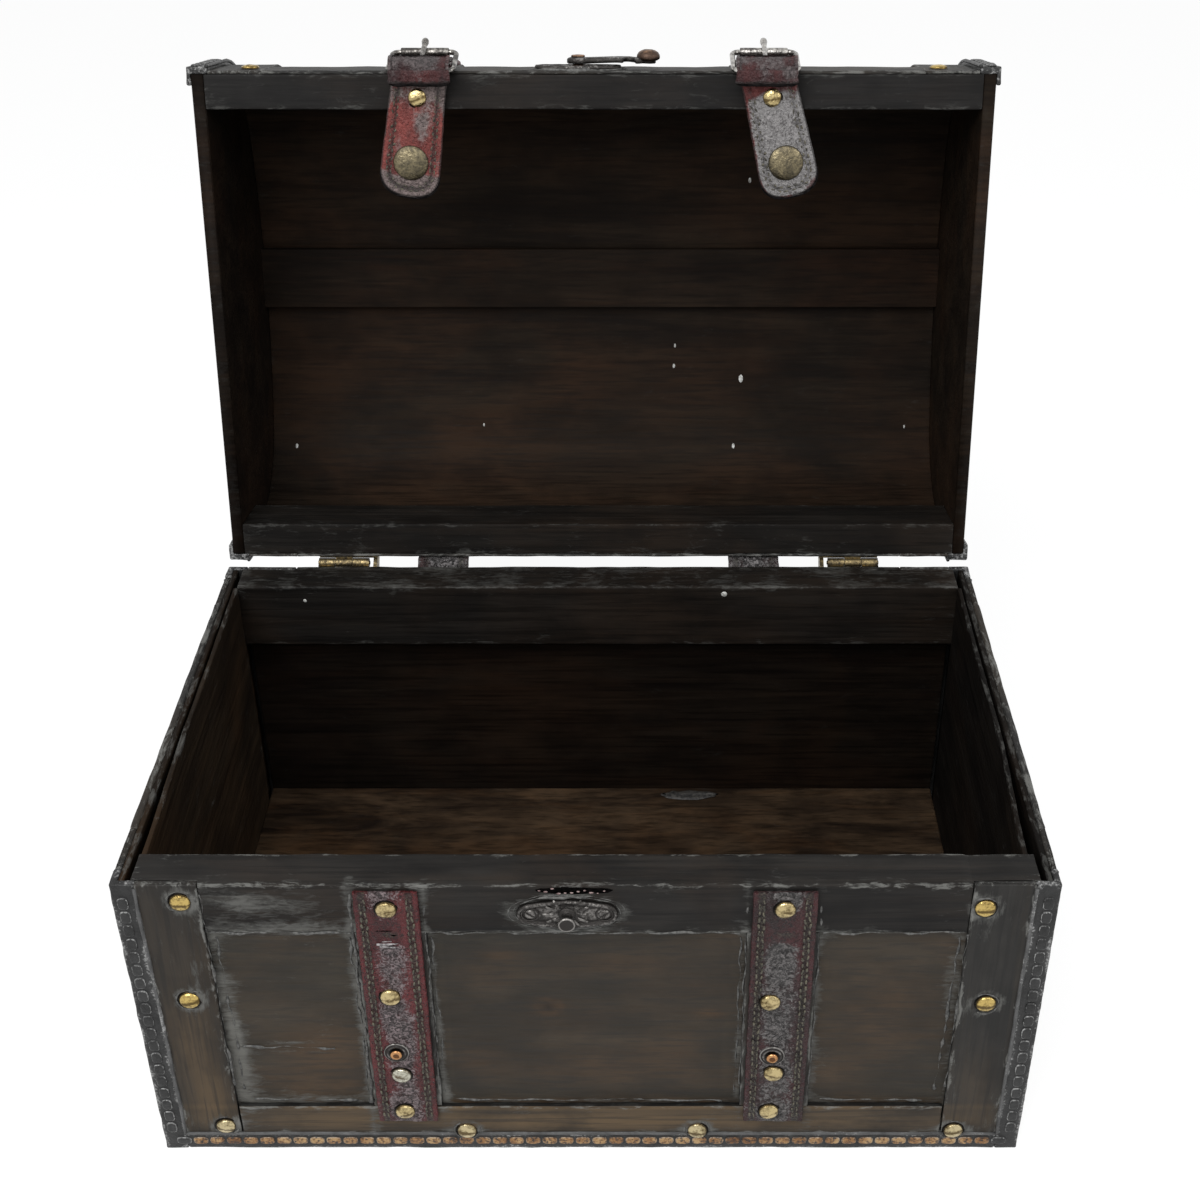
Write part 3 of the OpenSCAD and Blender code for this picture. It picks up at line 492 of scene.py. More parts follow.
def outline(corners, radius, step=8.0):
    """Points round a polygon with rounded corners, anticlockwise: (a, b, normal, wear)."""
    points, arc = [], 3
    corners = [Vector(c) for c in corners]
    count = len(corners)
    ways = [(corners[(i + 1) % count] - corners[i]) for i in range(count)]
    lengths = [w.length for w in ways]
    ways = [w.normalized() for w in ways]
    bends = [ways[i - 1].x * ways[i].y - ways[i - 1].y * ways[i].x for i in range(count)]
    for i in range(count):
        here, before, after = corners[i], ways[i - 1], ways[i]
        for k in range(arc + 1):
            t = k / arc
            start, end = here - before * radius, here + after * radius
            place = start * (1 - t) ** 2 + here * 2 * t * (1 - t) + end * t * t
            way = (before * (1 - t) + after * t).normalized()
            points.append((place.x, place.y, Vector((way.y, -way.x)), 1.0 if bends[i] > 0 else 0.0))
        free = lengths[i] - 2 * radius
        for m in marks(free, step):
            place = here + after * (radius + m)
            near = max(fall(m) if bends[i] > 0 else 0, fall(free - m) if bends[(i + 1) % count] > 0 else 0)
            points.append((place.x, place.y, Vector((after.y, -after.x)), near))
    return points


def box_outline(half_a, half_b, radius, step=8.0):
    return outline([(-half_a, -half_b), (half_a, -half_b), (half_a, half_b), (-half_a, half_b)], radius,
                   step)


def mirrored(corners, flip_a=True, flip_b=False):
    """The same polygon in another corner, still anticlockwise."""
    made = [(-a if flip_a else a, -b if flip_b else b) for a, b in corners]
    return made if flip_a and flip_b else made[::-1]


def straight(start, end, across, up, step=9.0):
    start, end = Vector(start), Vector(end)
    length = (end - start).length
    way = (end - start) / length
    return [(start + way * s, across, up, s) for s in [0, *marks(length, step), length]]


def sweep(piece, frames, section, radius=0.5, flat=0.0, grain="along", seed=0, tone=None, shape=None,
          rough=0.12, lump=9.0, width=None):
    """Draws a section along frames, each a place, its two directions and its distance."""
    total = frames[-1][3]
    rounding = [(radius + flat, 0)] if flat else []
    rounding += [(radius, 0), (radius * 0.29, radius * 0.29), (0, radius)]

    def rounded_end(frame, side):
        o, u, n, s = frame
        way = u.cross(n) * side
        return [(o + way * ahead, u, n, s + side * ahead, inset) for inset, ahead in rounding]

    stations = rounded_end(frames[0], 1) + [(*f, 0) for f in frames[1:-1]]
    stations += rounded_end(frames[-1], -1)[::-1]
    shift = Vector((seed * 37.7, seed * 91.3, seed * 53.9))
    loops = []
    for o, u, n, s, inset in stations:
        end_wear = fall(min(s, total - s))
        loop = []
        for a, b, normal, near in section:
            a1, b1 = a - normal.x * inset, b - normal.y * inset
            if width:
                a1 *= width(s)
            out = u * normal.x + n * normal.y
            place = o + u * a1 + n * b1
            wear = max(near, end_wear)
            if rough:
                place = place + out * (rough * (0.35 + 0.9 * wear) * cloud(place, lump, seed))
            if shape:
                place = shape(place, a1, b1, s, out)
            at = Vector((a1, b1, s)) if grain == "along" else Vector((s, b1, a1))
            loop.append(piece.add(place, at + shift, wear, tone(place, a1, s) if tone else 0.0))
        loops.append(loop)
    piece.skin(loops)


def board(piece, low, high, axis, radius=0.6, step=9.0, **how):
    """A rounded board between two corners, with its grain along an axis."""
    low, high = Vector(low), Vector(high)
    middle, half = (low + high) / 2, (high - low) / 2
    i, j = (axis + 1) % 3, (axis + 2) % 3
    reach = AXES[axis] * half[axis]
    frames = straight(middle - reach, middle + reach, AXES[i], AXES[j], step)
    thin = min(half[i], half[j])
    flat = 1.0 if thin > radius + 1.2 else 0.0
    sweep(piece, frames, box_outline(half[i], half[j], radius, step), radius, flat, **how)


def arch(v_back, v_front, step=6.0):
    """Frames over the closed lid from the back rim to the front one."""
    found = []

    def put(y, v, angle):
        n = Vector((0, cos(angle), sin(angle)))
        p = Vector((0, y, RIM_Z + v))
        s = found[-1][3] + (p - found[-1][0]).length if found else 0.0
        found.append((p, X, n, s))

    def bend(cy, cv, radius, a0, a1):
        count = max(2, round(radians(a1 - a0) * radius / step))
        for k in range(count + 1):
            a = radians(a0 + (a1 - a0) * k / count)
            put(cy + radius * cos(a), cv + radius * sin(a), a)

    wall = WALL_H - v_back
    for m in [0, *marks(wall, step)]:
        put(HALF_D, v_back + m, 0)
    bend(SHOULDER_Y, WALL_H, SHOULDER_R, 0, 90 - CROWN_SPAN)
    count = round(2 * radians(CROWN_SPAN) * CROWN_R / step)
    for k in range(1, count):
        a = radians(90 - CROWN_SPAN + 2 * CROWN_SPAN * k / count)
        put(CROWN_R * cos(a), CROWN_Z + CROWN_R * sin(a), a)
    bend(-SHOULDER_Y, WALL_H, SHOULDER_R, 90 + CROWN_SPAN, 180)
    wall = WALL_H - v_front
    for m in [*marks(wall, step), wall]:
        put(-HALF_D, WALL_H - m, pi)
    return found


def lathe(piece, matrix, profile, turns=24, dent=0.0, seed=0, stain=0.0, bored=False, mark=None):
    """Turns a profile of (radius, height) or (radius, height, tone) about the matrix's Z axis.

    The two ends of the profile are closed, or joined to each other if bored."""
    profile = [(*point, 0.0)[:3] for point in profile]
    if not bored and profile[0][0] > POINT:
        profile.insert(0, (0, *profile[0][1:]))
    if not bored and profile[-1][0] > POINT:
        profile.append((0, *profile[-1][1:]))
    rings = []
    for r, z, tone in profile:
        ring = []
        for c, s in circle(turns)[:turns if r > POINT else 1]:
            p = Vector((r * c, r * s, z))
            if dent:
                p.z += dent * cloud(p, 2.6, seed)
            at = p + Vector((seed * 11.3, seed * 5.1, seed * 3.7))
            extra = mark(p) if mark else 0.0
            ring.append(piece.add(matrix @ p, at, 0.0, tone + extra, stain))
        rings.append(ring)
    piece.skin(rings, False, False, bored)


def tube(piece, points, radius, turns=10, closed=False, seed=0, rough=0.0, wear=0.5):
    """A round bar along points; radius is one number or one for each point."""
    points = [Vector(p) for p in points]
    count = len(points)
    side = None
    loops = []
    run = 0.0
    for i, p in enumerate(points):
        if closed:
            way = (points[(i + 1) % count] - points[i - 1]).normalized()
        else:
            way = (points[min(i + 1, count - 1)] - points[max(i - 1, 0)]).normalized()
        if side is None:
            side = way.orthogonal().normalized()
        side = (side - way * side.dot(way)).normalized()
        up = way.cross(side)
        r = radius[i] if isinstance(radius, list) else radius
        run += (p - points[i - 1]).length if i else 0
        loop = []
        for c, s in circle(turns):
            out = side * c + up * s
            bump = 1 + rough * cloud(p + out * r, 4.0, seed)
            at = (r * c, r * s, run + seed * 17)
            loop.append(piece.add(p + out * r * bump, at, wear + 0.5 * cloud(p, 9.0, seed)))
        loops.append(loop)
    piece.skin(loops, not closed, not closed, closed)


def towards(place, out, up=Z):
    """Matrix at a place whose Z axis points out and whose Y axis is nearest to up."""
    out = Vector(out).normalized()
    side = Vector(up).cross(out)
    side = side.normalized() if side.length > 1e-6 else out.orthogonal().normalized()
    made = Matrix((side, out.cross(side), out)).transposed().to_4x4()
    made.translation = Vector(place)
    return made


def pillow(piece, matrix, half_x, half_y, height, tone, seed):
    """A low cushion with a rounded oblong outline, as embossed in the trim."""
    rings = []
    for scale, lift, wear in ((1.06, 0, 0.4), (1.0, 0.45, 1.15), (0.9, 0.8, 1.1), (0.8, 0.95, 0.4),
                              (0.5, 1, 0.2)):
        ring = []
        for c, s in circle(14):
            p = Vector((swell(c, 0.6) * half_x * scale, swell(s, 0.6) * half_y * scale, lift * height))
            at = matrix @ p
            jitter = 0.12 * cloud(at, 4.0, seed)
            ring.append(piece.add(at + matrix.to_3x3() @ Vector((0, 0, jitter * lift)), at,
                                  wear, tone * lift))
        rings.append(ring)
    piece.skin(rings, bottom=False)


def plate(piece, matrix, edge, layers, seed=0, rough=0.0, tone=None, bend=None):
    """A flat form from its edge loop; layers are (inset, height, tone) from the underside to the top."""
    count = len(edge)
    normals = []
    for i in range(count):
        way = (Vector(edge[(i + 1) % count]) - Vector(edge[i - 1])).normalized()
        normals.append(Vector((way.y, -way.x)))
    loops = []
    for inset, height, shade in layers:
        loop = []
        for (a, b), normal in zip(edge, normals):
            p = Vector((a - normal.x * inset, b - normal.y * inset, height))
            if rough:
                p.z += rough * cloud(p, 3.0, seed)
            at = p.copy()
            value = shade + (tone(p) if tone else 0.0)
            if bend:
                p = bend(p)
            loop.append(piece.add(matrix @ p, at + Vector((seed * 13, seed * 7, 0)), fall(inset, 0.7),
                                  value))
        loops.append(loop)
    piece.skin(loops)


def stitch(piece, place, along, length=3.0, radius=0.46, seed=0):
    """One bulging stitch, a little askew."""
    rnd = random.Random(seed)
    askew = Vector([rnd.uniform(-0.22, 0.22) for _ in range(3)])
    radius *= rnd.uniform(0.8, 1.35)
    length *= rnd.uniform(0.75, 1.1)
    matrix = towards(place + askew, along + askew * 1.2, Vector((0.3, 0.5, 0.8)))
    profile = [(0, -length / 2), (radius * 0.8, -length * 0.36), (radius, 0),
               (radius * 0.8, length * 0.36), (0, length / 2)]
    lathe(piece, matrix, profile, 6, 0.0, seed)


def on_frames(frames, s):
    """The place and its normal at a distance along frames, and the two frames it lies between."""
    for one, two in zip(frames, frames[1:]):
        if one[3] <= s <= two[3]:
            t = (s - one[3]) / max(two[3] - one[3], 1e-6)
            return one[0].lerp(two[0], t), one[2].lerp(two[2], t).normalized(), one, two


def stitch_line(piece, frames, a, b, start, stop):
    """Stitches along a strap at a distance a from its middle and at height b."""
    s, index, pitch = start, 0, 3.5
    while s < stop:
        here, n, one, two = on_frames(frames, s)
        way = (two[0] + two[2] * b - one[0] - one[2] * b).normalized()
        stitch(piece, here + one[1] * a + n * b, way, seed=index + int(a * 40))
        s += pitch
        index += 1


# Wax smears on the front: place, half length, half height, strength
SMEARS = ((-124, 132.6, 30, 1.7, 0.9), (-30, 131.6, 36, 1.3, 0.5), (-128, 146, 24, 6, 0.95),
          (-140, 150, 12, 4, 0.6), (-122, 136, 28, 2.6, 0.8), (-162, 109, 2.4, 7, 1.0),
          (-163, 93, 6, 6, 0.5), (-162, 150, 8, 4, 0.5), (-128, 64, 24, 1.3, 0.7),
          (-131, 58.5, 20, 1.4, 0.5), (-150, 78, 3.6, 38, 0.95), (-149, 40, 6, 15, 0.9),
          (2, 66, 26, 1.5, 0.4), (-89, 130, 4, 16, 0.6), (150, 100, 3.4, 26, 0.9), (163, 133, 4, 16, 0.6),
          (120, 131, 34, 1.8, 0.6), (30, 131, 34, 1.6, 0.5), (-30, 129, 12, 1.8, 0.5),
          (-158, 16, 14, 4, 0.75), (155, 13, 16, 3, 0.6), (48, 12, 14, 2.5, 0.6), (-54, 11, 12, 2.5, 0.6),
          (101, 56, 4, 26, 0.5), (60, 60, 2, 26, 0.5), (-62, 60, 2, 34, 0.6), (-68, 146, 3, 9, 0.7),
          (-35, 124, 7, 1.3, 0.7), (-66, 32, 6, 5, 0.6))

# Warm stain: place, half length, half height, strength
WARMTH = ((-112, 52, 24, 30, 0.5), (128, 90, 16, 14, 0.3), (-8, 80, 26, 9, 0.4), (-40, 104, 14, 9, 0.35),
          (12, 110, 22, 7, 0.3), (34, 62, 16, 11, 0.3), (-46, 50, 12, 12, 0.3), (-17, 86, 6, 5, 0.6),
          (52, 82, 6, 2, 0.8), (20, 45, 44, 10, 0.35), (-36, 116, 9, 4, 0.5), (118, 66, 26, 26, 0.35),
          (0, 18, 170, 6, 1.0), (-168, 62, 9, 26, 0.5), (-165, 32, 10, 14, 0.6), (0, 26.4, 175, 1.6, 0.8),
          (168, 40, 9, 20, 0.25))


def spots(place, table):
    return sum(strength * exp(-((place.x - x) / reach) ** 2 - ((place.z - z) / height) ** 2)
               for x, z, reach, height, strength in table)


def rounded_gap(x, z, middle, half_x, half_z):
    """Distance from a point to the edge of a field with rounded corners, inside it."""
    corner = 9.0
    qx = abs(x - middle[0]) - half_x + corner
    qz = abs(z - middle[1]) - half_z + corner
    return corner - hypot(max(qx, 0), max(qz, 0)) - min(max(qx, qz), 0)


def smear(place, latched):
    """Grey wax on a long side: the named smears, rings round nails, lines beside straps and latch."""
    total = spots(place, SMEARS)
    for index, (x, z) in enumerate(FRAME_NAILS):
        away = hypot(place.x - x, place.z - z)
        total += (0.9 + 0.5 * cloud((place.x, index, place.z), 6)) * bell(away - 6.0, 1.7)
    beside = abs(abs(place.x) - STRAP_X) - STRAP_HALF
    if -1 < beside < 12:
        strength = 0.95 if place.x < -STRAP_X else 0.5
        total += (strength + 0.6 * cloud(place, 12, 2)) * bell(beside - 1.8, 2.0)
    if latched:
        ring = hypot((place.x - LATCH_X) / 23, (place.z - STUD_Z) / 9.6)
        total += 0.9 * bell(ring - 1, 0.16)
    return total


def face_tone(latched):
    """Tone and stain of a long side's frame: wax on its face, and painted shade, nearly black, on its sides.
    """
    def found(place, a, s):
        if not latched and place.z > BASE_H - 0.6:
            return 0.32, 0.0
        if place.y > -115:
            return -0.1, 0.0
        # Painted shade: the sides of the frame's boards are toned nearly black.
        if place.y > 0.7 - HALF_D and place.z < BASE_H - 1.5:
            return -1.0, 0.0
        return smear(place, latched) - 0.05, spots(place, WARMTH)
    return found


def panel_tone(place, a, s):
    """Wax lies on the panel along the frame round its three fields, thickest in the corners."""
    if place.y > -116:
        return 0.0
    height = (RAIL_TOP + RAIL_Z) / 2
    half = (RAIL_Z - RAIL_TOP) / 2
    between = abs(place.x) < STRAP_X
    if between:
        gap = rounded_gap(place.x, place.z, (0, height), 65, half)
    else:
        gap = rounded_gap(abs(place.x), place.z, (125, height), 30, half)
    reach = (4.0 if place.x < -STRAP_X else 3.0) + 2.2 * cloud(place, 18, 5)
    tone = 0.8 * clamp(1.4 - gap / reach) + 0.9 * smear(place, False)
    shaded = 0.35 if between else (0.27 if place.x > 0 else -0.06)
    knot = hypot((place.x + 17) / 1.4, place.z - 86)
    ring = bell(knot - 3.4, 1.3)
    return tone - shaded - 0.5 * bell(knot, 1.7), spots(place, WARMTH) + 0.5 * ring


# Nails, with the small errors of nails hammered by hand
FRAME_NAILS = ((-162.5, 148), (-166.5, 93), (-161.5, 15), (-55, 12), (47, 12), (160.5, 12), (166.5, 91),
               (160.5, 145))
STRAP_NAILS = ((-80, 146), (-82, 97), (-81, 50), (-81, 27), (80, 146), (76, 94), (79, 51), (78, 27))
SNAPS = ((-82, 64), (78, 62))

# Base: boards, rails and frames
floor = Piece()
board(floor, (-ROOM_X, -ROOM_Y, 0), (ROOM_X, ROOM_Y, FLOOR_T), 0, step=18, seed=1)
floor.finish("floor_board", FLOOR_WOOD, "base", "floor_wood", "base_floor")

panels = Piece()
board(panels, (-ROOM_X, -BOARD_Y, 0), (ROOM_X, -ROOM_Y, RAIL_Z), 0, 0.4, 2.6, seed=2, tone=panel_tone,
      rough=0.1)
panels.finish("front_panel", PANEL_WOOD, "base", "panel_wood", "base_front_panel")
back = Piece()
board(back, (-ROOM_X, ROOM_Y, 0), (ROOM_X, BOARD_Y, RAIL_Z), 0, 0.4, 8, seed=3)
back.finish("back_panel", BACK_WOOD, "base", "panel_wood", "base_back_panel")


def rim_rail(name, side, thickness, node, seed):
    """Rim rail with its outer lip and the foot behind the panel."""
    inner = HALF_D - thickness
    piece = Piece(turn(0 if side < 0 else 180, "Z"))
    foot = 122
    profile = [(-HALF_D, RAIL_Z), (-ROOM_Y, RAIL_Z), (-ROOM_Y, foot), (-inner, foot), (-inner, BASE_H),
               (-HALF_D, BASE_H)]
    reach = STILE - 0.5
    ends = [reach, STILE + 0.1, 168, ROOM_X]
    places = [-x for x in ends[::-1]] + [m - reach for m in marks(2 * reach, 2.6)] + ends
    frames = [(Vector((x, 0, 0)), Y, Z, x + ROOM_X) for x in places]

    def behind_stiles(place, a, b, s, out):
        if abs(place.x) > STILE - 0.2:
            place.y = max(place.y, 0.1 - BOARD_Y)
        if side < 0 and STILE - 0.7 < place.x < STILE + 0.3:
            place.z -= 0.5
        return place

    sweep(piece, frames, outline(profile, 0.9, 3), 0.4, 0.8, seed=seed, tone=face_tone(side < 0),
          shape=behind_stiles, rough=0.3, lump=14)
    piece.finish(name, RAIL_WOOD if side < 0 else INNER_RAIL, "base", "frame_wood", node)


rim_rail("front_rail", -1, 19, "base_front_rail", 4)
rim_rail("back_rail", 1, 20, "base_back_rail", 6)


def liner(name, side, node, gap, seed, material):
    """Thin inner end board that has sprung away from the outer one, and the outer board."""
    piece = Piece()

    def spring(place, a, b, s, out):
        y = place.y
        ahead = clamp((-y - 10) / 100)
        rise = max(place.z, 0) / BASE_H
        inward = gap * (3 * ahead ** 2 - 2 * ahead ** 3) * rise + 0.9 * cos(y / 76) * rise
        return Vector((place.x - side * inward, place.y, place.z))

    low, high = sorted((side * ROOM_X, side * (ROOM_X + 2.2)))
    board(piece, (low, -101, 0), (high, 101, BASE_H - 1), 1, 0.5, 7, seed=seed, shape=spring)
    low, high = sorted((side * (ROOM_X + 2.6), side * BOARD_X))
    board(piece, (low, -BOARD_Y, 0), (high, BOARD_Y, BASE_H - 0.4), 1, 0.5, 9, seed=seed + 1)
    piece.finish(name, material, "base", "inside_wood", node)


liner("right_end_board", 1, "base_right_end", 4.2, 8, RIGHT_LINER)
liner("left_end_board", -1, "base_left_end", 2.4, 10, LINER_WOOD)

STRIP = {"radius": 0.8, "rough": 0.3, "lump": 12}
for name, angle, node in (("front_frame", 0, "base_front_frame"), ("back_frame", 180, "base_back_frame")):
    piece = Piece(turn(angle, "Z"))
    how = {**STRIP, "step": 2.6, "tone": face_tone(angle == 0)}
    for index, x in enumerate((-180, STILE)):
        board(piece, (x, -HALF_D, BAND), (x + 25, -BOARD_Y, BASE_H), 2, seed=12 + index, **how)
    for index, x in enumerate((-95, 65)):
        board(piece, (x, 0.4 - HALF_D, RAIL_TOP), (x + 30, -BOARD_Y, RAIL_Z), 2, seed=14 + index, **how)
    board(piece, (0.5 - STILE, -HALF_D, BAND), (STILE - 0.5, -BOARD_Y, RAIL_TOP), 0, seed=16, **how)
    piece.finish(name, FRAME_WOOD, "base", "frame_wood", node)

piece = Piece()
for angle in (90, 270):
    piece.matrix = turn(angle, "Z")
    for index, x in enumerate((-110, 85)):
        board(piece, (x, -HALF_W, BAND), (x + 25, -BOARD_X, BASE_H), 2, step=6, seed=18 + index, **STRIP)
    for index, (low, high) in enumerate(((RAIL_Z, BASE_H), (BAND, RAIL_TOP))):
        board(piece, (-85, -HALF_W, low), (85, -BOARD_X, high), 0, step=6, seed=20 + index, **STRIP)
piece.finish("end_frames", FRAME_WOOD, "base", "frame_wood", "base_end_frames")

# Base: embossed trim on every edge. A side is its turn, its half length and its distance
SIDES = ((0, 180, HALF_D), (180, 180, HALF_D), (90, 110, HALF_W), (270, 110, HALF_W))
ANGLE = [(180, -HALF_D), (HALF_W, -HALF_D), (HALF_W, -110), (BOARD_X, -110), (BOARD_X, -BOARD_Y),
         (180, -BOARD_Y)]
trims = Piece()
for index, (fa, fb) in enumerate(((False, False), (True, False), (False, True), (True, True))):
    corners = ANGLE if not (fa or fb) else mirrored(ANGLE, fa, fb)
    sweep(trims, straight((0, 0, 0), (0, 0, BASE_H), X, Y, 5), outline(corners, 0.9, 4), 0.5,
          seed=30 + index, rough=0.35, lump=7)
foot = Piece()
for angle, reach, out in SIDES:
    for piece in (trims, foot):
        piece.matrix = turn(angle, "Z")
    board(foot, (-reach, -out, 0), (reach, 3 - out, BAND), 0, 0.8, 6, seed=34, rough=0.3, lump=7)
    edge = reach + BAND
    rows = int((2 * edge - 8) / CUSHION_STEP)
    for k in range(rows):
        x = (k - (rows - 1) / 2) * CUSHION_STEP
        copper = abs(x) < reach - 2
        pillow(foot if copper else trims, towards((x, -out, 5.4), -Y), 3.25, 2.1, 0.75, 1.0 if copper
               else 0.0, k)
    for side in (-1, 1):
        for k in range(19):
            place = towards((side * (reach + 5.6), -out, 14 + CUSHION_STEP * k), -Y)
            pillow(trims, place, CUSHION_X, CUSHION_Y, 0.7, 0.0, k)
trims.matrix = foot.matrix = HERE
trims.finish("corner_trim", TRIM, "base", "edge_band", "base_corner_bands")
foot.finish("foot_trim", TRIM, "base", "edge_band", "base_bottom_bands")

beads = Piece()
for angle, reach, out in SIDES:
    beads.matrix = turn(angle, "Z")
    runs = [(-reach, reach)]
    for x, z in FRAME_NAILS:
        if z < 14 and out == HALF_D:
            low, high = runs.pop()
            runs += [(low, x - 4.6), (x + 4.6, high)]
    for low, high in runs:
        count = max(2, int((high - low) / 6))
        line = [(low + (high - low) * k / count, -out, BAND + 0.4 * cloud((k, 0, out), 3))
                for k in range(count + 1)]
        tube(beads, line, BEAD_R, 8, seed=angle + low, rough=0.25, wear=0.85)
    for side in (-1, 1):
        line = [(side * reach + 0.3 * cloud((k, side, out), 3), -out, BAND + 6.6 * k) for k in range(23)]
        tube(beads, line, BEAD_R, 8, seed=angle + side, rough=0.25, wear=0.95)
beads.matrix = HERE
beads.finish("trim_beads", BEADS, "base", "edge_band", "base_beads")

# Base: straps
threads = Piece()


def strap_tone(seed, low=0.15, high=0.62):
    """The middle of a strap is rubbed, in patches along its length, and its sewn channels are dark with dirt
    and painted shade.
    """
    def found(place, a, s):
        middle = 1 - min(abs(a) / (STRAP_HALF - 4.5), 1.6) ** 2
        sewn = bell(abs(a) - STRAP_HALF + SEAM_IN, 1.5, 4)
        return low + (high - low) * max(middle, -0.3) + 0.35 * cloud((s, seed, 0), 18), 0.95 * sewn
    return found


def seams(half, thickness):
    """Presses the top of a strap down along its two seams."""
    depth = 0.3

    def found(place, a, b, s, out):
        near = bell(abs(a) - half + SEAM_IN, 1.3)
        if b <= thickness * 0.6:
            return place
        inner = max(1 - abs(a) / (half - 3), 0)
        pucker = 0.5 * inner * cloud((a * 0.5, s * 1.3, half), 3.2, 6)
        return place - out * (depth * near + pucker)
    return found


def strap(piece, thread, frames, seed, tone, sewn=(4, 4)):
    """A strap with four rows of stitches; sewn gives the plain lengths at its ends."""
    half = STRAP_HALF
    corners = [(-half, 0), (half, 0), (half, STRAP_T), (-half, STRAP_T)]
    section = outline(corners, min(0.8, STRAP_T * 0.4), 1.7)
    sweep(piece, frames, section, 0.6, seed=seed, tone=tone, shape=seams(half, STRAP_T), rough=0.28,
          lump=3.4)
    total = frames[-1][3]
    for a in (-half + 2.7, -half + 4.6, half - 4.6, half - 2.7):
        stitch_line(thread, frames, a, STRAP_T - 0.12, sewn[0] + (0.9 if abs(a) > half - 4 else 0),
                    total - sewn[1])


def front_strap(side):
    """A front strap: the left one keeps its colour near the top, the right one is nearly all rubbed, and
    each has a fold painted as a dark line of shade with a painted highlight below it.
    """
    rubbed = strap_tone(side, *((0.15, 0.85) if side < 0 else (0.3, 1.0)))

    def found(place, a, s):
        tone, stain = rubbed(place, a, s)
        # Painted shade and highlight: a dark line across the strap where it folds, and a pale shine line
        # just below it.
        crease_shade = bell(s - 112 - 0.1 * a, 1.6) * max(1 - abs(a + 1) / 8, 0)
        top = 0.7 * bell(s - 114, 13)
        shine = 1.2 * bell(s - 104, 2.5) * max(1 - abs(a) / 7, 0)
        return tone - top + shine, max(stain, 1.3 * crease_shade)
    return found


STRAPS = ((-1, "left", LEFT_STRAP), (1, "right", RIGHT_STRAP))
for side, name, hide in STRAPS:
    piece = Piece()
    frames = straight((side * STRAP_X, -HALF_D, 20), (side * STRAP_X, -HALF_D, 154.5), -X, -Y, 2.2)
    strap(piece, threads, frames, 40 + side, front_strap(side))
    frames = straight((side * STRAP_X, HALF_D, 20), (side * STRAP_X, HALF_D, 152.25), X, Y, 3)
    strap(piece, threads, frames, 44 + side, strap_tone(side + 5), (4, 0))
    replaced = ("base_front_straps", "base_back_straps") if side > 0 else ()
    piece.finish(name + "_base_straps", hide, "base", "strap_leather", *replaced)
threads.finish("base_stitches", THREAD, "base", "strap_leather")


def nail(piece, matrix, seed, pale=0.0, band=0.3):
    """A round head dented by the hammer, in a ring of painted shadow, with a darker band across it that is
    oxide and a painted reflection.
    """
    rnd = random.Random(seed)
    tilt = turn(rnd.uniform(-4, 4), "X") @ turn(rnd.uniform(-4, 4), "Y")
    slope, middle = rnd.uniform(-0.35, 0.35), rnd.uniform(-0.9, 0.1)
    # Painted shadow: the foot of the head is toned nearly black.
    profile = [(5.0, -0.5, 2.0), (5.0, 0.06, 2.0), (4.4, 0.12, 2.0), (4.2, 0.2, 1.4)]
    for k in range(9):
        a = radians(90 * k / 8)
        profile.append((4.25 * cos(a), 0.45 + 1.55 * sin(a), 0.5 - 0.5 * min(k, 3) / 3))

    # Painted reflection: a darker band across the dome that also stands for oxide; band sets its strength.
    def tarnish_and_reflection(p):
        return band * bell(p.y - middle - slope * p.x, 0.7)

    lathe(piece, matrix @ tilt, profile, 28, 0.2, seed, pale, mark=tarnish_and_reflection)


nails = Piece()
for angle in (0, 180):
    nails.matrix = turn(angle, "Z")
    for index, (x, z) in enumerate(FRAME_NAILS):
        nail(nails, towards((x, -HALF_D, z), -Y), index + angle, 0.45 if z < 20 else 0.0, 1.0)
    for index, (x, z) in enumerate(STRAP_NAILS):
        nail(nails, towards((x, -HALF_D - STRAP_T, z), -Y), 20 + index + angle, 0.95 if z == 50 else 0.3,
             0.5)
for angle in (90, 270):
    nails.matrix = turn(angle, "Z")
    for index, (x, z) in enumerate(((-97.5, 17), (97.5, 17), (-97.5, 147), (97.5, 147))):
        nail(nails, towards((x, -HALF_W, z), -Y), 40 + index + angle)
nails.finish("base_nail_heads", NAIL_BRASS, "base", "nail_brass", "base_nails")

# Turned profiles are (radius, height, tone), from the outside in
RING = ((5.5, -0.5, 1), (5.5, 0.3, 0.2), (5.1, 0.7, -0.8), (4.7, 0.4, 1.6), (4.4, 0.45, 1.4),
        (4.0, 0.95, 0.1), (3.4, 0.95, 0.3), (2.9, 0.5, 1.4), (2.0, 0.25, 1.6), (0, 0.2, 1.6))
POST = ((1.7, 0, 1.5), (1.7, 0.8, 1.2), (2.4, 1.2, 0.6), (2.6, 1.7, 0), (2.3, 2.2, 0), (1.5, 2.5, 0),
        (1.1, 2.2, 0.9), (0, 2.1, 1.2))
rings, posts = Piece(), Piece()
for index, (x, z) in enumerate(SNAPS):
    place = towards((x, -HALF_D - STRAP_T, z), -Y)
    lathe(rings, place, RING, 32, 0.12, index)
    lathe(posts, place, POST, 20, 0.05, index)
rings.finish("snap_rings", LATCH_METAL, "base", "latch_metal", "snap_studs")
posts.finish("snap_posts", SNAP_COPPER, "base", "nail_brass")


# Latch
def latch_edge():
    """Outline of a latch plate: a round middle that runs into two round ends."""
    round_x, count = 15.2, 96
    rays = circle(count)

    def inside(a, b):
        along = min(abs(a) / round_x, 1)
        middle = abs(b) < 7.3 - 2.0 * along ** 1.6
        return middle if abs(a) < round_x else hypot(abs(a) - round_x, b) < 5.3

    reach = []
    for c, s in rays:
        r = 22.0
        while r > 1 and not inside(r * c, r * s):
            r -= 0.05
        reach.append(r)
    soft = [(reach[k - 1] + 2 * reach[k] + reach[(k + 1) % count]) / 4 for k in range(count)]
    return [(r * c, r * s) for r, (c, s) in zip(soft, rays)]


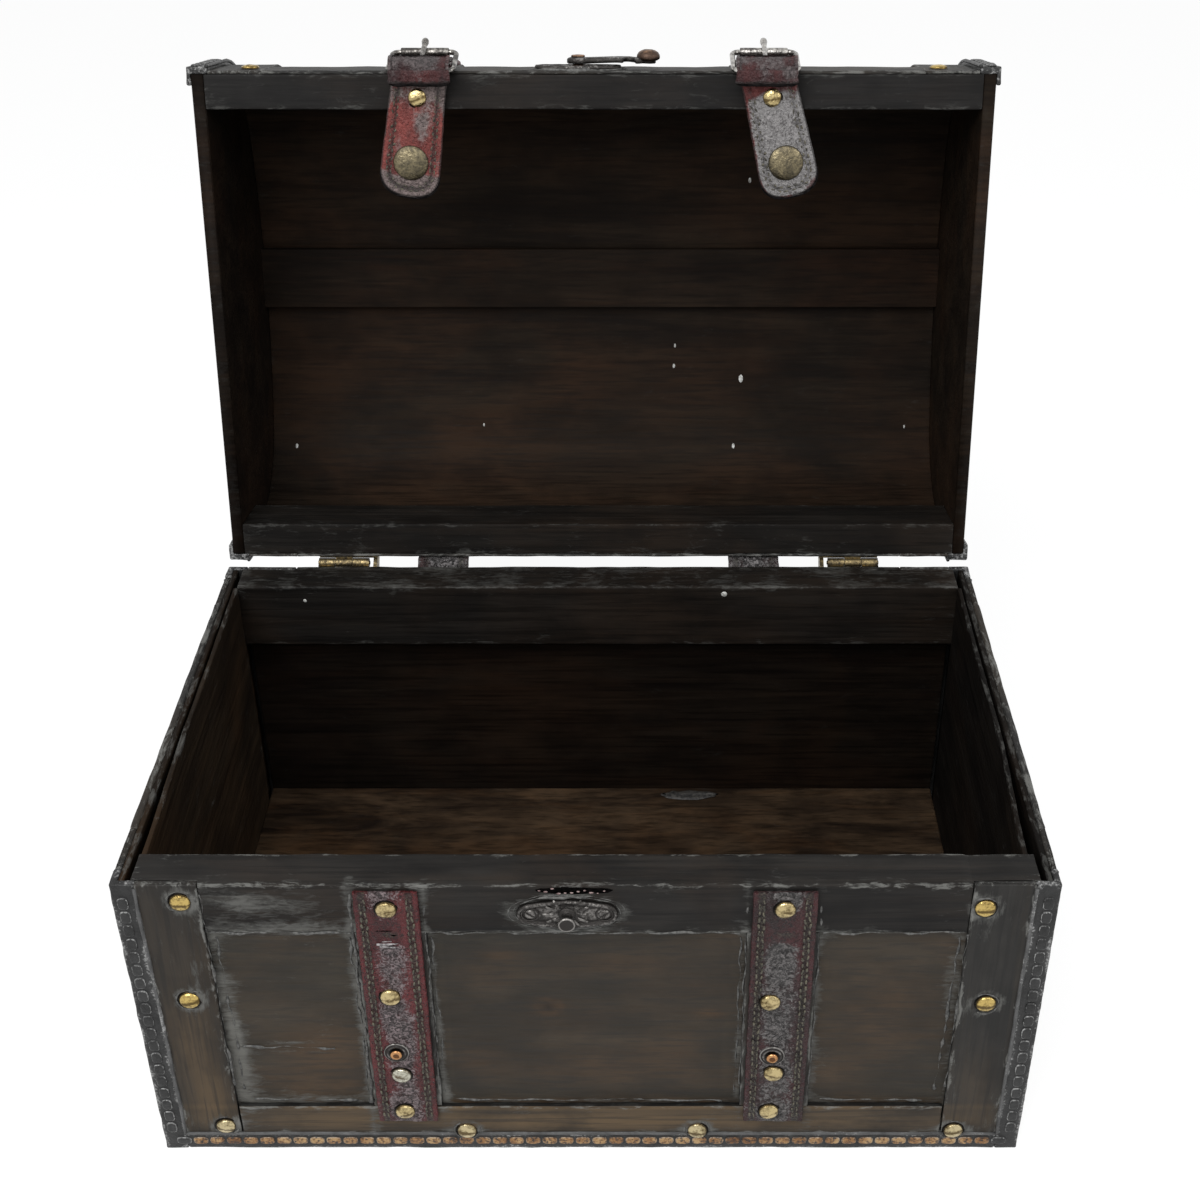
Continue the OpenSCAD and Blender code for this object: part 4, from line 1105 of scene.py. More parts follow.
def ribs(piece, matrix):
    """Raised ribs that fan out from the middle of a latch plate, and a ring round each of its screws."""
    for side in (-1, 1):
        for k in range(5):
            angle = (90 - 90 * side) + 26 * (k - 2)
            away = 7.6 - 0.55 * abs(k - 2)
            place = matrix @ move(away * cos(radians(angle)), away * sin(radians(angle)), 0.9)
            pillow(piece, place @ turn(angle, "Z"), 2.6, 0.62, 0.75, 0.0, k)
        ring = matrix @ move(SCREW_X * side, 0, 1.0)
        lathe(piece, ring, SCREW_RING, 28, 0.06, side + 5, bored=True)


SCREW_RING = ((3.0, 0, 1.4), (3.1, 0.45, 0.9), (3.45, 0.6, 0.3), (3.8, 0.45, 0.9), (3.9, 0, 1.4))
PLATE_EDGE = latch_edge()
PLATE_LAYERS = ((0.6, 0, 1), (0, 0.1, 1), (0, 1.2, 0.6), (0.4, 1.95, 0.2), (1.2, 1.95, 0.2),
                (1.7, 1.1, 1.2), (2.6, 1.0, 0.6), (3.2, 1.25, 0.2))


def screw(piece, matrix, radius, height, seed):
    """A domed screw head with a cut slot."""
    rings = []
    for share, lift in ((1.0, -0.3), (1.02, 0.2), (0.85, 0.62), (0.6, 0.85), (0.34, 0.96), (0.12, 1.0)):
        ring = []
        for c, s in circle(36):
            p = Vector((radius * share * c, radius * share * s, lift * height))
            slot = abs(p.y) < 0.28
            if slot and share < 0.9:
                p.z -= 0.5
            ring.append(piece.add(matrix @ p, p + Vector((seed * 9, 0, 0)), 0, 1.0 if slot else -0.2))
        rings.append(ring)
    piece.skin(rings, bottom=False)


def latch_plate(body, place, seed, askew, radius):
    """An embossed plate on the base or the lid, with its two screws turned askew."""
    piece = Piece()
    plate(piece, place, PLATE_EDGE, PLATE_LAYERS, seed, 0.15)
    ribs(piece, place)
    piece.finish(body + "_latch", LATCH_METAL, body, "latch_metal", body + "_latch_plate")
    screws = Piece()
    for side in (-1, 1):
        head = place @ move(side * SCREW_X, 0, 1.1) @ turn(askew * side, "Z")
        screw(screws, head, radius, 0.8, side + 5 * seed - 5)
    screws.finish(body + "_latch_screw_heads", LATCH_METAL, body, "latch_metal", body + "_latch_screws")


place = towards((LATCH_X, -HALF_D, STUD_Z), -Y)
latch_plate("base", place, 1, 35, 2.3)
stud = Piece()
STUD = ((3.6, 1.0, 1), (3.5, 1.7, 0.8), (2.6, 2.1, 0.8), (2.15, 2.6, 0.6), (2.15, 5.6, 0.6), (2.5, 6.0, 0.4),
        (3.3, 6.3, 0.2), (3.6, 6.9, -0.2), (3.5, 7.6, -0.4), (3.2, 7.9, -0.8), (2.9, 7.8, -0.2),
        (2.6, 7.6, 1.2), (1.4, 7.6, 1.2), (0, 7.6, 1.2))
lathe(stud, place, STUD, 28, 0.06, 3)
stud.finish("latch_knob", LATCH_METAL, "base", "latch_metal", "latch_stud")

# Lid
for side, name, node in ((-1, "lid_rail_front", "lid_front_rail"), (1, "lid_rail_back", "lid_back_rail")):
    piece = Piece(LID @ turn(0 if side < 0 else 180, "Z"))
    profile = [(-118.4, 0), (-102.5, 0), (-102.5, 32), (-114.5, 32), (-114.5, 6), (-118.4, 6)]
    section = outline([(y, RIM_Z + v) for y, v in profile], 0.7, 5)
    sweep(piece, straight((-ROOM_X, 0, 0), (ROOM_X, 0, 0), Y, Z, 7), section, 0.4, 0.8, seed=50 + side,
          rough=0.25, lump=14)
    piece.finish(name, LID_RAIL if side < 0 else INNER_RAIL, "lid", "frame_wood", node)

skin = Piece(LID)
section = outline([(-ROOM_X, -5.5), (ROOM_X, -5.5), (ROOM_X, -1.5), (-ROOM_X, -1.5)], 0.4, 12)
sweep(skin, arch(6, 6), section, 0.4, grain="across", seed=52, rough=0.12, lump=30)
skin.finish("lid_arch", INSIDE_WOOD, "lid", "panel_wood", "lid_skin")


# The lid's end boards, anticlockwise in (y, height), a little inside the arch
end_edge = [(p.y - n.y * 1.6, p.z - n.z * 1.6) for p, _, n, _ in arch(0, 0, 5.0)]
for side, name, node in ((1, "lid_end_right", "lid_right_end"), (-1, "lid_end_left", "lid_left_end")):
    piece = Piece(LID)
    base = Matrix(((0, 0, 1, 182.1 if side > 0 else -187.9), (1, 0, 0, 0), (0, 1, 0, 0), (0, 0, 0, 1)))
    layers = ((1.5, 0, 0), (0.5, 0, 0), (0, 0.5, 0), (0, 5.3, 0), (0.5, 5.8, 0), (1.5, 5.8, 0))
    plate(piece, base, end_edge, layers, 3, 0.05)
    piece.finish(name, INSIDE_WOOD if side > 0 else END_WOOD, "lid", "panel_wood", node)

strips = Piece(LID)
for low, high in ((STILE, 180), (-180, -STILE), (65, 95), (-95, -65)):
    v = 0 if abs(low + high) > 300 else 26
    frames = [(o + X * (low + high) / 2, u, n, s) for o, u, n, s in arch(v, v, 5)]
    half = (high - low) / 2
    sweep(strips, frames, outline([(-half, -1.5), (half, -1.5), (half, 0), (-half, 0)], 0.5, 5), 0.4,
          seed=low, rough=0.3, lump=12)
for angle in (0, 180):
    strips.matrix = LID @ turn(angle, "Z")
    board(strips, (-STILE, -HALF_D, RIM_Z), (STILE, 1.5 - HALF_D, RIM_Z + 26), 0, 0.5, 6, seed=56,
          rough=0.3, lump=12)
strips.matrix = LID
strips.finish("lid_strips_worn", FRAME_WOOD, "lid", "frame_wood", "lid_strips")

caps = Piece(LID)
for side in (1, -1):
    corners = [(180, -1.5), (188, -1.5), (188, -6.5), (HALF_W, -6.5), (HALF_W, 2), (180, 2)]
    corners = corners if side > 0 else mirrored(corners)
    frames = arch(0, 0, 4)
    sweep(caps, frames, outline(corners, 0.9, 3), 0.5, seed=58 + side, rough=0.5, lump=8)
    for k in range(int(frames[-1][3] / CUSHION_STEP)):
        here, n, _, _ = on_frames(frames, 5 + CUSHION_STEP * k)
        here += n * 2 + X * side * 185.6
        pillow(caps, towards(here, n, n.cross(X)), CUSHION_X, CUSHION_Y, 0.7, 0.0, k)
    ridge = [o + X * side * 180.2 + n * 1.9 for o, _, n, _ in frames]
    tube(caps, ridge, BEAD_R, 8, seed=side, rough=0.25)
caps.finish("lid_end_trim", TRIM, "lid", "edge_band", "lid_end_bands")

lid_threads = Piece(LID)
for side, name, hide in STRAPS:
    piece = Piece(LID)
    frames = [(o + X * side * STRAP_X, u, n, s) for o, u, n, s in arch(4.75, 6, 2.4)]
    strap(piece, lid_threads, frames, 60 + side, strap_tone(side + 9), (2, 4))
    replaced = ("lid_straps",) if side > 0 else ()
    piece.finish(name + "_lid_strap", hide, "lid", "strap_leather", *replaced)
lid_threads.finish("lid_stitches", THREAD, "lid", "strap_leather")

lid_nails = Piece(LID)
seed = 100
for side in (-1, 1):
    for face in (-1, 1):
        out = Y * face
        nail(lid_nails, towards((side * 162.5, face * HALF_D, RIM_Z + 13), out), seed)
        for x, angle, lift in ((167.5, 45, 0), (STRAP_X, 40, STRAP_T)):
            a = radians(angle)
            n = Vector((0, face * sin(a), cos(a)))
            middle = Vector((side * x, face * SHOULDER_Y, RIM_Z + WALL_H))
            nail(lid_nails, towards(middle + n * (SHOULDER_R + lift), n), seed + 1)
        seed += 3
    top = RIM_Z + CROWN_Z + CROWN_R
    nail(lid_nails, towards((side * 167.5, 0, top), Z, Y), seed)
    nail(lid_nails, towards((side * STRAP_X, 0, top + STRAP_T), Z, Y), seed + 1)
    nail(lid_nails, towards((side * STRAP_X, HALF_D + STRAP_T, RIM_Z + 16), Y), seed + 2)
    seed += 3
lid_nails.finish("lid_nail_heads", NAIL_BRASS, "lid", "nail_brass", "lid_nails")

# Leather bends round the hinge line from the base straps to the lid straps
for side, name in ((-1, "left_fold"), (1, "right_fold")):
    p0 = Vector((side * STRAP_X, HALF_D, 152.25))
    p3 = LID @ Vector((side * STRAP_X, HALF_D, 162.25))
    way = LID.to_3x3() @ Z
    p1, p2 = p0 + Z * 4.4, p3 - way * 3.6
    frames = []
    for k in range(11):
        t = k / 10
        p = p0 * (1 - t) ** 3 + p1 * 3 * t * (1 - t) ** 2 + p2 * 3 * t * t * (1 - t) + p3 * t ** 3
        d = ((p1 - p0) * (1 - t) ** 2 + (p2 - p1) * 2 * t * (1 - t) + (p3 - p2) * t * t).normalized()
        s = frames[-1][3] + (p - frames[-1][0]).length if frames else 0.0
        frames.append((p, X, d.cross(X), s))
    piece = Piece()
    corners = [(-STRAP_HALF, 0), (STRAP_HALF, 0), (STRAP_HALF, STRAP_T), (-STRAP_HALF, STRAP_T)]
    section = outline(corners, 0.7, 2)
    sweep(piece, frames, section, 0.5, seed=70 + side, tone=strap_tone(3, 0.5, 0.9), rough=0.3, lump=3)
    obj = piece.finish(name, FOLD_LEATHER, None, "strap_leather", *(["strap_folds"] if side > 0 else []))
    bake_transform(obj)

# Latch on the lid
place = LID @ towards((LATCH_X, -HALF_D, PIVOT_Z), -Y)
latch_plate("lid", place, 2, 50, 2.1)
rivet = Piece()
RIVET = ((2.9, 1.0, 1), (2.8, 2.2, 1), (2.0, 2.5, 1), (2.0, 4.9, 1), (3.3, 5.7, 0.6), (3.3, 6.1, 0.2),
         (2.8, 6.5, -0.3), (1.6, 6.6, -0.2), (1.2, 6.3, 1.4), (0, 6.3, 1.6))
lathe(rivet, place, RIVET, 28, 0.05, 4)
rivet.finish("latch_rivet_head", COPPER, "lid", "latch_metal", "latch_rivet")

ARM_OUT, KNOB_AT = 2.6, 33.0


def arm_edge():
    """The arm from its eye along the upper edge to the knob and back round the hook's notch."""
    edge = []
    for k in range(19):
        a = radians(320 - 280 * k / 18)
        edge.append((5.2 * cos(a), 5.2 * sin(a)))
    upper = [(8, 3.2), (13, 3.0), (18, 4.6), (21, 5.6), (24, 6.0), (27, 5.4), (30, 3.4), (34, 2.0)]
    edge += upper + [(36.5, 0), (34, -2.0), (30.5, -3.0), (29, -5.0), (27.6, -5.6), (26.6, -4.6),
                     (26.6, -1.6)]
    for k in range(1, 7):
        a = radians(180 * k / 7)
        edge.append((24 + 2.6 * cos(a), 2.6 * sin(a)))
    edge += [(21.4, -1.6), (21.4, -4.6), (20.2, -5.6), (18, -4.6), (13, -3.0), (8, -3.2)]
    return edge[::-1]


def arm_bend(p):
    """The arm is thick round its rivet and bows on its way to the knob."""
    boss = max(0, 1 - hypot(p.x, p.y) / 7)
    bow = 0.5 * sin(pi * clamp((p.x - 3) / 30))
    return Vector((p.x, p.y, p.z + bow + (0.8 * boss if p.z > 1 else 0)))


arm = Piece()
ARM_LAYERS = ((0.5, 0, 1), (0, 0.4, 0.9), (0, 1.8, 0.5), (0.5, 2.4, -0.1), (0.9, 2.5, 0.2))
plate(arm, place @ move(0, 0, ARM_OUT), arm_edge(), ARM_LAYERS, 5, 0.25, None, arm_bend)
arm.finish("latch_hook", LATCH_METAL, "latch_arm", "latch_metal", "latch_arm")
knob = Piece()
# Painted shade on the knob: its tone is nearly black underneath and lighter towards its top.
KNOB = ((0, -2.6, 1.8), (2.2, -2.5, 1.8), (4.2, -2.2, 1.6), (5.2, -1.6, 1.2), (5.5, -0.7, 1.0),
        (5.3, 0.4, 0.6), (4.6, 1.5, 0.2), (3.3, 2.3, -0.1), (1.7, 2.75, 0.2), (0, 2.85, 0.4))
lathe(knob, place @ move(KNOB_AT, 0, 6.2), KNOB, 26, 0.25, 6)
knob.finish("latch_ball", COPPER, "latch_arm", "latch_metal")

# Buckles, strap ends, keepers and flaps
BUCKLE_LEN, BUCKLE_HALF, BUCKLE_TILT = 23.53, 15, 17.05
WIRE_R, CORNER_R, TONGUE_EYE = 1.25, 3.4, 2.15
ROLLER = ((1.35, -11.2, 1), (1.9, -11.2, 0.6), (2.05, -10.9, 0), (2.05, -6, 0.2), (2.02, 0, 0),
          (2.05, 6, 0.2), (2.05, 10.9, 0), (1.9, 11.2, 0.6), (1.35, 11.2, 1))
# The tongue: share of its length, radius
TONGUE = ((0.12, 1.05), (0.3, 1.1), (0.5, 1.15), (0.7, 1.2), (0.85, 1.25), (0.95, 1.5), (1.0, 1.75))
TAIL_IN, TAIL_T, TAIL_TILT = 3.48, 2.0, 18.85
KEEPER_R, BAR_R, EYE_R = 6.78, 1.26, 3.18
FLAP_T, FLAP_LEN, FLAP_HANG, NAIL_AT, CAP_AT = 2.4, 58.0, 97, 11.8, 42
CAP = ((7.6, -0.3, 1), (8.2, 0.0, 1), (8.3, 0.45, 0.5), (7.8, 1.05, 0.1), (6.6, 1.6, 0), (4.8, 2.05, 0),
       (2.5, 2.32, 0), (0, 2.4, 0))
SOCKET = ((0, 0.4), (4.4, 0.4), (4.4, -1.1), (4.1, -1.4), (2.9, -1.4), (2.6, -1.1), (2.6, -0.4), (0, -0.4))


def ring_frames(radius, a0, a1, count, start=0.0):
    """Frames round the strap bar in its YZ plane from angle a0 to a1; the distance begins at start."""
    found = []
    s = start
    for k in range(count + 1):
        a = radians(a0 + (a1 - a0) * k / count)
        n = Vector((0, cos(a), sin(a)))
        p = n * radius
        s += (p - found[-1][0]).length if found else 0
        found.append((p, -X, n, s))
    return found


def keeper_shape(place, a, b, s, out):
    """A band with a thick rolled lower edge, and behind it the thin end of the strap."""
    band = clamp((5.6 - s) / 0.6)
    roll = bell(s - 0.8, 1.0)
    thin = clamp((s - 5.8) / 0.8)
    return place + out * ((0.25 * band + 0.6 * roll - 1.65 * thin) if b > 0.2 else -0.3 * roll)


def keeper_tone(place, a, s):
    """The rolled edge is dark, and the band is a mottled grey under the strap's rubbed end."""
    dark = bell(s - 0.3, 1.2, 4) + 0.9 * bell(s - 6.0, 0.5)
    return (0.38 if s < 5.8 else 0.6) + 0.4 * cloud((a, s * 0.5, 3), 6), dark


# The flap's end is nearly square: the power of its outline, and the step between its stitches
ROUND, FLAP_PITCH = 2.6, 3.4


def flap_frames(lean):
    """Frames down the flap, its half width at each distance and the middle of its round end."""
    psi = radians(lean)
    half = STRAP_HALF * cos(psi)
    way = Vector((sin(psi), 0, -cos(psi)))
    square = Vector((-cos(psi), 0, -sin(psi)))
    s_mid = (FLAP_LEN - half) / cos(psi)
    places = [2.0 * k for k in range(int(s_mid / 2))]
    places += [s_mid + half * sin(radians(a)) for a in range(0, 90, 6)] + [s_mid + half]
    frames = []
    for s in places:
        share = min(s / 10, 1)
        u = (-X).lerp(square, share).normalized()
        frames.append((way * s, u, -Y, s))
    return frames, half, s_mid


def build_flap(piece, thread, cut, lean, side):
    """A flap hung on the bar, with its seams, a painted shadow across its top under the keeper, and a dark
    band just below its round end.
    """
    frames, half, s_mid = flap_frames(lean)
    psi = radians(lean)
    down, across = Vector((sin(psi), 0, -cos(psi))), Vector((cos(psi), 0, sin(psi)))

    def flare(s):
        return 0.1 * clamp((s - 8) / 36)

    def width(s):
        base = 1 + (STRAP_HALF / half - 1) * max(1 - s / 10, 0) + flare(s)
        if s > s_mid:
            return base * max(max(1 - ((s - s_mid) / half) ** ROUND, 0) ** (1 / ROUND), 0.06)
        return base

    def gap(a, s):
        level = abs(a) / (1 + flare(s))
        return half - ((level ** ROUND + (s - s_mid) ** ROUND) ** (1 / ROUND) if s > s_mid else level)

    def wave(place, s):
        return 0.5 * cloud(place, 17, side + 4) * min(s / 20, 1)

    def shape(place, a, b, s, out):
        edge = gap(a, s)
        if abs(b) < 0.9:
            return place - Y * wave(place, s)
        groove = 0.42 * bell(edge - SEAM_IN, 1.1)
        puff = 0.35 * clamp((edge - 4.6) / 4) * min(s / 14, 1)
        wrinkle = 0.28 * cloud((place.x * 0.6, side, place.z * 1.5), 3.2, side) * clamp(edge / 2)
        amount = -groove - 0.3 * fall(edge, 1.2) + wrinkle + (puff if b > 0 else 0)
        return place + out * amount * 0.9 - Y * wave(place, s)

    def tone(place, a, s):
        edge = gap(a, s)
        if side < 0:
            grey = 0.7 * bell(s - 10, 9)
            grey += 0.6 * exp(-((a + 3) / 4) ** 2 - ((s - 24) / 9) ** 2)
            grey += 0.8 * clamp((s - 46) / 5) + 0.25 * fall(edge, 2.5)
        else:
            grey = 1.0 * clamp((s - 7) / 5) - 0.7 * fall(edge, 1.6) * (1 if a > 0 else 0.3)
        # The sewn channels are dark with dirt and painted shade, the top under the keeper is painted shadow,
        # and the edges are dark.
        sewn = (0.8 if side < 0 else 0.55) * bell(edge - SEAM_IN, 1.4, 4)
        stain = max(sewn, 1.2 * fall(s - 2.5, 1.0), bell(edge, 0.7))
        return 0.05 + grey + 0.4 * cloud(place, 11, side), stain

    def round_end(a, reach):
        return reach * swell(cos(a), 2 / ROUND) * 1.1, s_mid + reach * swell(sin(a), 2 / ROUND)

    sweep(piece, frames, box_outline(half, FLAP_T / 2, 0.9, 1.5), 0.4, seed=88 + side, tone=tone,
          shape=shape, rough=0.15, lump=3, width=width)
    loop = ring_frames((BAR_R + EYE_R) / 2, 262, -82, 22)
    sweep(piece, loop, box_outline(12.9, (EYE_R - BAR_R) / 2, 0.7, 2.4), 0.4, seed=87,
          tone=lambda place, a, s: 0.2, rough=0.25, lump=4)

    # A dark band just below the round end, thickest at its bottom.
    rim, radii = [], []
    for k in range(25):
        a = radians(4 + 172 * k / 24)
        x, s = round_end(a, half)
        place = down * (s + 0.45) - across * x
        rim.append(place + Y * (0.35 - wave(place, 20)))
        radii.append(0.3 + 0.8 * sin(a))
    tube(cut, rim, radii, 8, seed=side)

    for inset, shift in ((2.6, 0.0), (4.5, 1.2)):
        reach = half - inset
        line = []
        run = 9.0
        while run < s_mid:
            line.append((-reach * (1 + flare(run)), run))
            run += 0.5
        steps = int(pi * reach / 0.5)
        for k in range(steps + 1):
            x, s = round_end(pi * k / steps, reach)
            line.append((-x, s))
        while run > 9:
            line.append((reach * (1 + flare(run)), run))
            run -= 0.5
        travelled, index = shift, 0
        for one, two in zip(line, line[1:]):
            travelled += hypot(two[0] - one[0], two[1] - one[1])
            if travelled >= FLAP_PITCH:
                travelled -= FLAP_PITCH
                place, ahead = (down * s - across * x for x, s in (one, two))
                surface = place - Y * (FLAP_T / 2 - 0.28 + wave(place, one[1]))
                stitch(thread, surface, ahead - place, 2.6, 0.42, index)
                index += 1


for side, name, lean, hide, steel in ((-1, "left", -9, LEFT_LEATHER, DARK_NICKEL),
                                      (1, "right", 14, RIGHT_LEATHER, NICKEL)):
    bar = LID @ move(side * STRAP_X, -HALF_D - 0.3, RIM_Z - 6.5)
    buckle = bar @ turn(BUCKLE_TILT, "X")
    flap = bar @ turn(FLAP_HANG, "X")
    body = name + "_buckle"

    wire = Piece(buckle)
    loop = []
    near, far, half = CORNER_R, BUCKLE_LEN - CORNER_R, BUCKLE_HALF - CORNER_R
    for cx, cz, start in ((half, far, 0), (-half, far, 90), (-half, near, 180), (half, near, 270)):
        for k in range(7):
            a = radians(start + 15 * k)
            loop.append(Vector((cx + near * cos(a), 0, cz + near * sin(a))))
    smooth = []
    for i, p in enumerate(loop):
        q = loop[(i + 1) % len(loop)]
        parts = max(1, round((q - p).length / 2.5))
        smooth += [p.lerp(q, k / parts) for k in range(parts)]
    tube(wire, smooth, WIRE_R, 12, True, seed=80 + side, rough=0.08)
    wire.finish(name + "_buckle_wire", steel, body, "buckle_metal", name + "_buckle_frame")

    roller = Piece(buckle @ move(0, 0, BUCKLE_LEN) @ turn(90, "Y"))
    lathe(roller, HERE, ROLLER, 24, 0.0, 3, bored=True)
    roller.finish(name + "_roller_tube", steel, name + "_roller", "buckle_metal", name + "_buckle_roller")

    tongue = Piece(buckle)
    angles = [radians(-200 + 24 * k) for k in range(12)]
    path = [Vector((0, TONGUE_EYE * cos(a), TONGUE_EYE * sin(a))) for a in angles]
    path.append(Vector((0, -2.1, 1.5)))
    radii = [0.85] * 12 + [0.95]
    for t, r in TONGUE:
        path.append(Vector((0, -1.9 - 1.5 * t, 2.0 + (BUCKLE_LEN + 1.6) * t)))
        radii.append(r)
    tip = path[-1] + Vector((0, -0.2, 1.5))
    tube(tongue, path + [tip, tip + Vector((0, 0, 0.9))], radii + [1.6, 0.7], 12, seed=82)
    tongue.finish(name + "_tongue_pin", steel, name + "_tongue", "buckle_metal", name + "_buckle_tongue")

    # The end of the lid strap loops over the bar and under the roller, and a keeper holds it
    tail = Piece(buckle)
    frames = ring_frames(TAIL_IN + TAIL_T / 2, 246, 180 - TAIL_TILT, 8)
    way = Vector((0, sin(radians(TAIL_TILT)), cos(radians(TAIL_TILT))))
    o, u, n, s = frames[-1]
    frames += [(o + way * k * 2.3, u, n, s + k * 2.3) for k in range(1, 11)]
    sweep(tail, frames, box_outline(STRAP_HALF, 0.95, 0.7, 2.2), 0.5, seed=84, tone=strap_tone(2, 0.3, 0.8),
          rough=0.35, lump=4)
    tail.finish(name + "_strap_end", TAIL_LEATHER, body, "strap_leather", name + "_strap_tail")
    keep, lip, rolled = Piece(buckle), Piece(buckle), Piece(buckle)
    section = box_outline(14.0, 1.0, 0.8, 1.7)
    how = {"tone": keeper_tone, "shape": keeper_shape, "rough": 0.4, "lump": 3}
    sweep(keep, ring_frames(KEEPER_R, 250, 160, 16, 6.7), section, 0.6, seed=86 + side, **how)
    sweep(lip, ring_frames(KEEPER_R, 294, 246, 9), section, 0.6, seed=86 + side, **how)
    keep.finish(name + "_keeper_loop", KEEPER_LEATHER, body, "strap_leather", name + "_keeper")
    edge = turn(294 + 4, "X") @ Vector((0, KEEPER_R + 0.5, 0))
    bow = [Vector((x, edge.y, edge.z - 0.5 * cos(pi * x / 28))) for x in range(-14, 15, 2)]
    tube(rolled, bow, [0.5] + [1.3] * (len(bow) - 2) + [0.5], 10, seed=side, rough=0.25)
    for soft, part, leather_of in ((lip, "_keeper_lip", KEEPER_LEATHER),
                                   (rolled, "_keeper_edge", DARK_RIM)):
        obj = soft.finish(name + part, leather_of, body, "strap_leather")
        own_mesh(obj)

    sheet, thread, cut = Piece(flap), Piece(flap), Piece(flap)
    build_flap(sheet, thread, cut, lean, side)
    sheet.finish(name + "_flap_leather", hide, name + "_flap", "flap_leather", name + "_flap")
    thread.finish(name + "_flap_stitches", THREAD, name + "_flap", "flap_leather")
    cut.finish(name + "_flap_edge", DARK_RIM, name + "_flap", "flap_leather")

    def on_flap(d):
        return flap @ towards((d * tan(radians(lean)), -FLAP_T / 2, -d), -Y)

    head = Piece()
    nail(head, on_flap(NAIL_AT), 90 + side, 0.25, 0.9)
    head.finish(name + "_flap_nail_head", NAIL_BRASS, name + "_flap", "nail_brass", name + "_flap_nail")
    cap = Piece()
    lathe(cap, on_flap(CAP_AT), CAP, 36, 0.12, 7 + side)
    lathe(cap, on_flap(CAP_AT), [(r, z - FLAP_T) for r, z in SOCKET], 28, 0.0, 9)
    cap.finish(name + "_snap_button", SNAP_BRASS, name + "_flap", "snap_brass", name + "_snap_cap")


# Small things left in the lid and on the floor
def drop(size):
    return [(size, -0.2), (size * 0.9, 0.12), (size * 0.5, 0.3), (0, 0.34)]


# Specks of glue under the lid: x, distance along the arch, size
specks = Piece(LID)
SPECKS = ((77, 135.9, 1.9), (79.6, 246.2, 1.2), (73, 96.6, 1.3), (40.6, 154.3, 0.9), (40, 143, 1.1),
          (94.3, 207.4, 0.7), (-168.9, 96.6, 1.2), (-65.2, 109.4, 0.8), (167.8, 108.4, 0.8), (66, 38, 2.6))
line = arch(6, 6)
for index, (x, along, size) in enumerate(SPECKS):
    here, _, one, _ = on_frames(line, along)
    here += X * x - one[2] * 5.45
    oval = towards(here, -one[2], X) @ Matrix.Diagonal((1.0, 0.55, 1.0, 1.0))
    lathe(specks, oval, drop(size * 1.3), 9, 0.25, index)
specks.finish("glue_specks", SPECK, "lid", "panel_wood")
chips = Piece()
for index, (x, z, size) in enumerate(((-148.4, 149, 1.0), (64, 153, 1.6))):
    lathe(chips, towards((x, 99.8, z), -Y), drop(size), 9, 0.3, index)
chips.finish("paint_chips", SPECK, "base", "frame_wood")
flake = Piece()
flake_edge = []
for k in range(20):
    a = radians(18 * k)
    long, wide = 1 + 0.35 * cloud((k, 0, 0), 1.7), 1 + 0.5 * cloud((0, k, 0), 1.3)
    flake_edge.append((15 * cos(a) * long, 4 * sin(a) * wide))
FLAKE_LAYERS = ((0.2, 0, 0), (0, 0.2, 0), (0.3, 0.5, 0), (1.6, 0.9, 0))
plate(flake, move(48, 104.5, FLOOR_T + 0.05), flake_edge, FLAKE_LAYERS, 4, 0.3)
flake.finish("torn_flake", FLAKE, "base", "inside_wood")


# Wax along the joints of the front, and the torn edge above the latch
def wax_line(piece, points, thick, seed, gap=0.0):
    """An uneven ridge of wax along points, broken where its noise is low."""
    path, radii = [], []
    step, run = 1.3, 0.0
    for one, two in zip(points, points[1:]):
        one, two = Vector(one), Vector(two)
        length = (two - one).length
        for k in range(max(1, round(length / step))):
            p = one.lerp(two, k * step / length)
            here = run + k * step
            p += Vector((cloud((here, seed, 1), 9), 0, cloud((here, seed, 2), 9))) * 1.1
            path.append(p)
            size = 0.5 + 1.1 * cloud((here, seed, 3), 4) + 0.8 * cloud((here, seed, 4), 19) - gap
            radii.append(max(thick * size, 0.03))
        run += length
    tube(piece, path, radii, 6, seed=seed, rough=0.6)


# Ridges of wax: from x and z to x and z, at a depth y, thickness, share that is broken
FACE, FIELD = -HALF_D - 0.05, -BOARD_Y
WAX_LINES = ((-153, 131.4, -94, 131.4, FACE, 0.8, 0.0), (-64, 131.2, 64, 131.2, FACE, 0.55, 0.1),
             (96, 131.2, 153, 131.4, FACE, 0.7, 0.0), (-151.5, 126, -151, 34, FIELD, 0.8, 0.1),
             (-149, 62, -108, 61, FIELD, 0.7, 0.0), (-97, 126, -97, 32, FIELD, 0.7, 0.1),
             (-63.5, 126, -63.3, 32, FIELD, 0.6, 0.2), (63, 126, 63, 32, FIELD, 0.6, 0.1),
             (152.5, 126, 150.5, 34, FIELD, 0.9, 0.0), (-154.4, 152, -154.2, 40, FACE, 0.6, 0.2),
             (154.6, 130, 154.4, 40, FACE, 0.6, 0.1), (-148, 28.5, -100, 28.2, FIELD, 0.7, 0.0),
             (100, 28.5, 148, 28.2, FIELD, 0.7, 0.1), (-60, 28.4, 60, 28.4, FIELD, 0.6, 0.1),
             (-94.6, 155, -94.9, 30, FACE + 0.4, 0.8, -0.1), (-65.2, 150, -65.0, 40, FACE + 0.4, 0.6, 0.1),
             (65.2, 150, 65.0, 40, FACE + 0.4, 0.5, 0.1), (94.8, 150, 95.0, 40, FACE + 0.4, 0.5, 0.1))
wax = Piece()
for index, (x0, z0, x1, z1, y, thick, gap) in enumerate(WAX_LINES):
    wax_line(wax, [(x0, y, z0), ((x0 + x1) / 2, y, (z0 + z1) / 2), (x1, y, z1)], thick, index, gap)


def oval_line(x, z, wide, high, step=7.5, count=48, start=0):
    angles = [radians(step * k + start) for k in range(count)]
    return [(x + wide * cos(a), FACE, z + high * sin(a)) for a in angles]


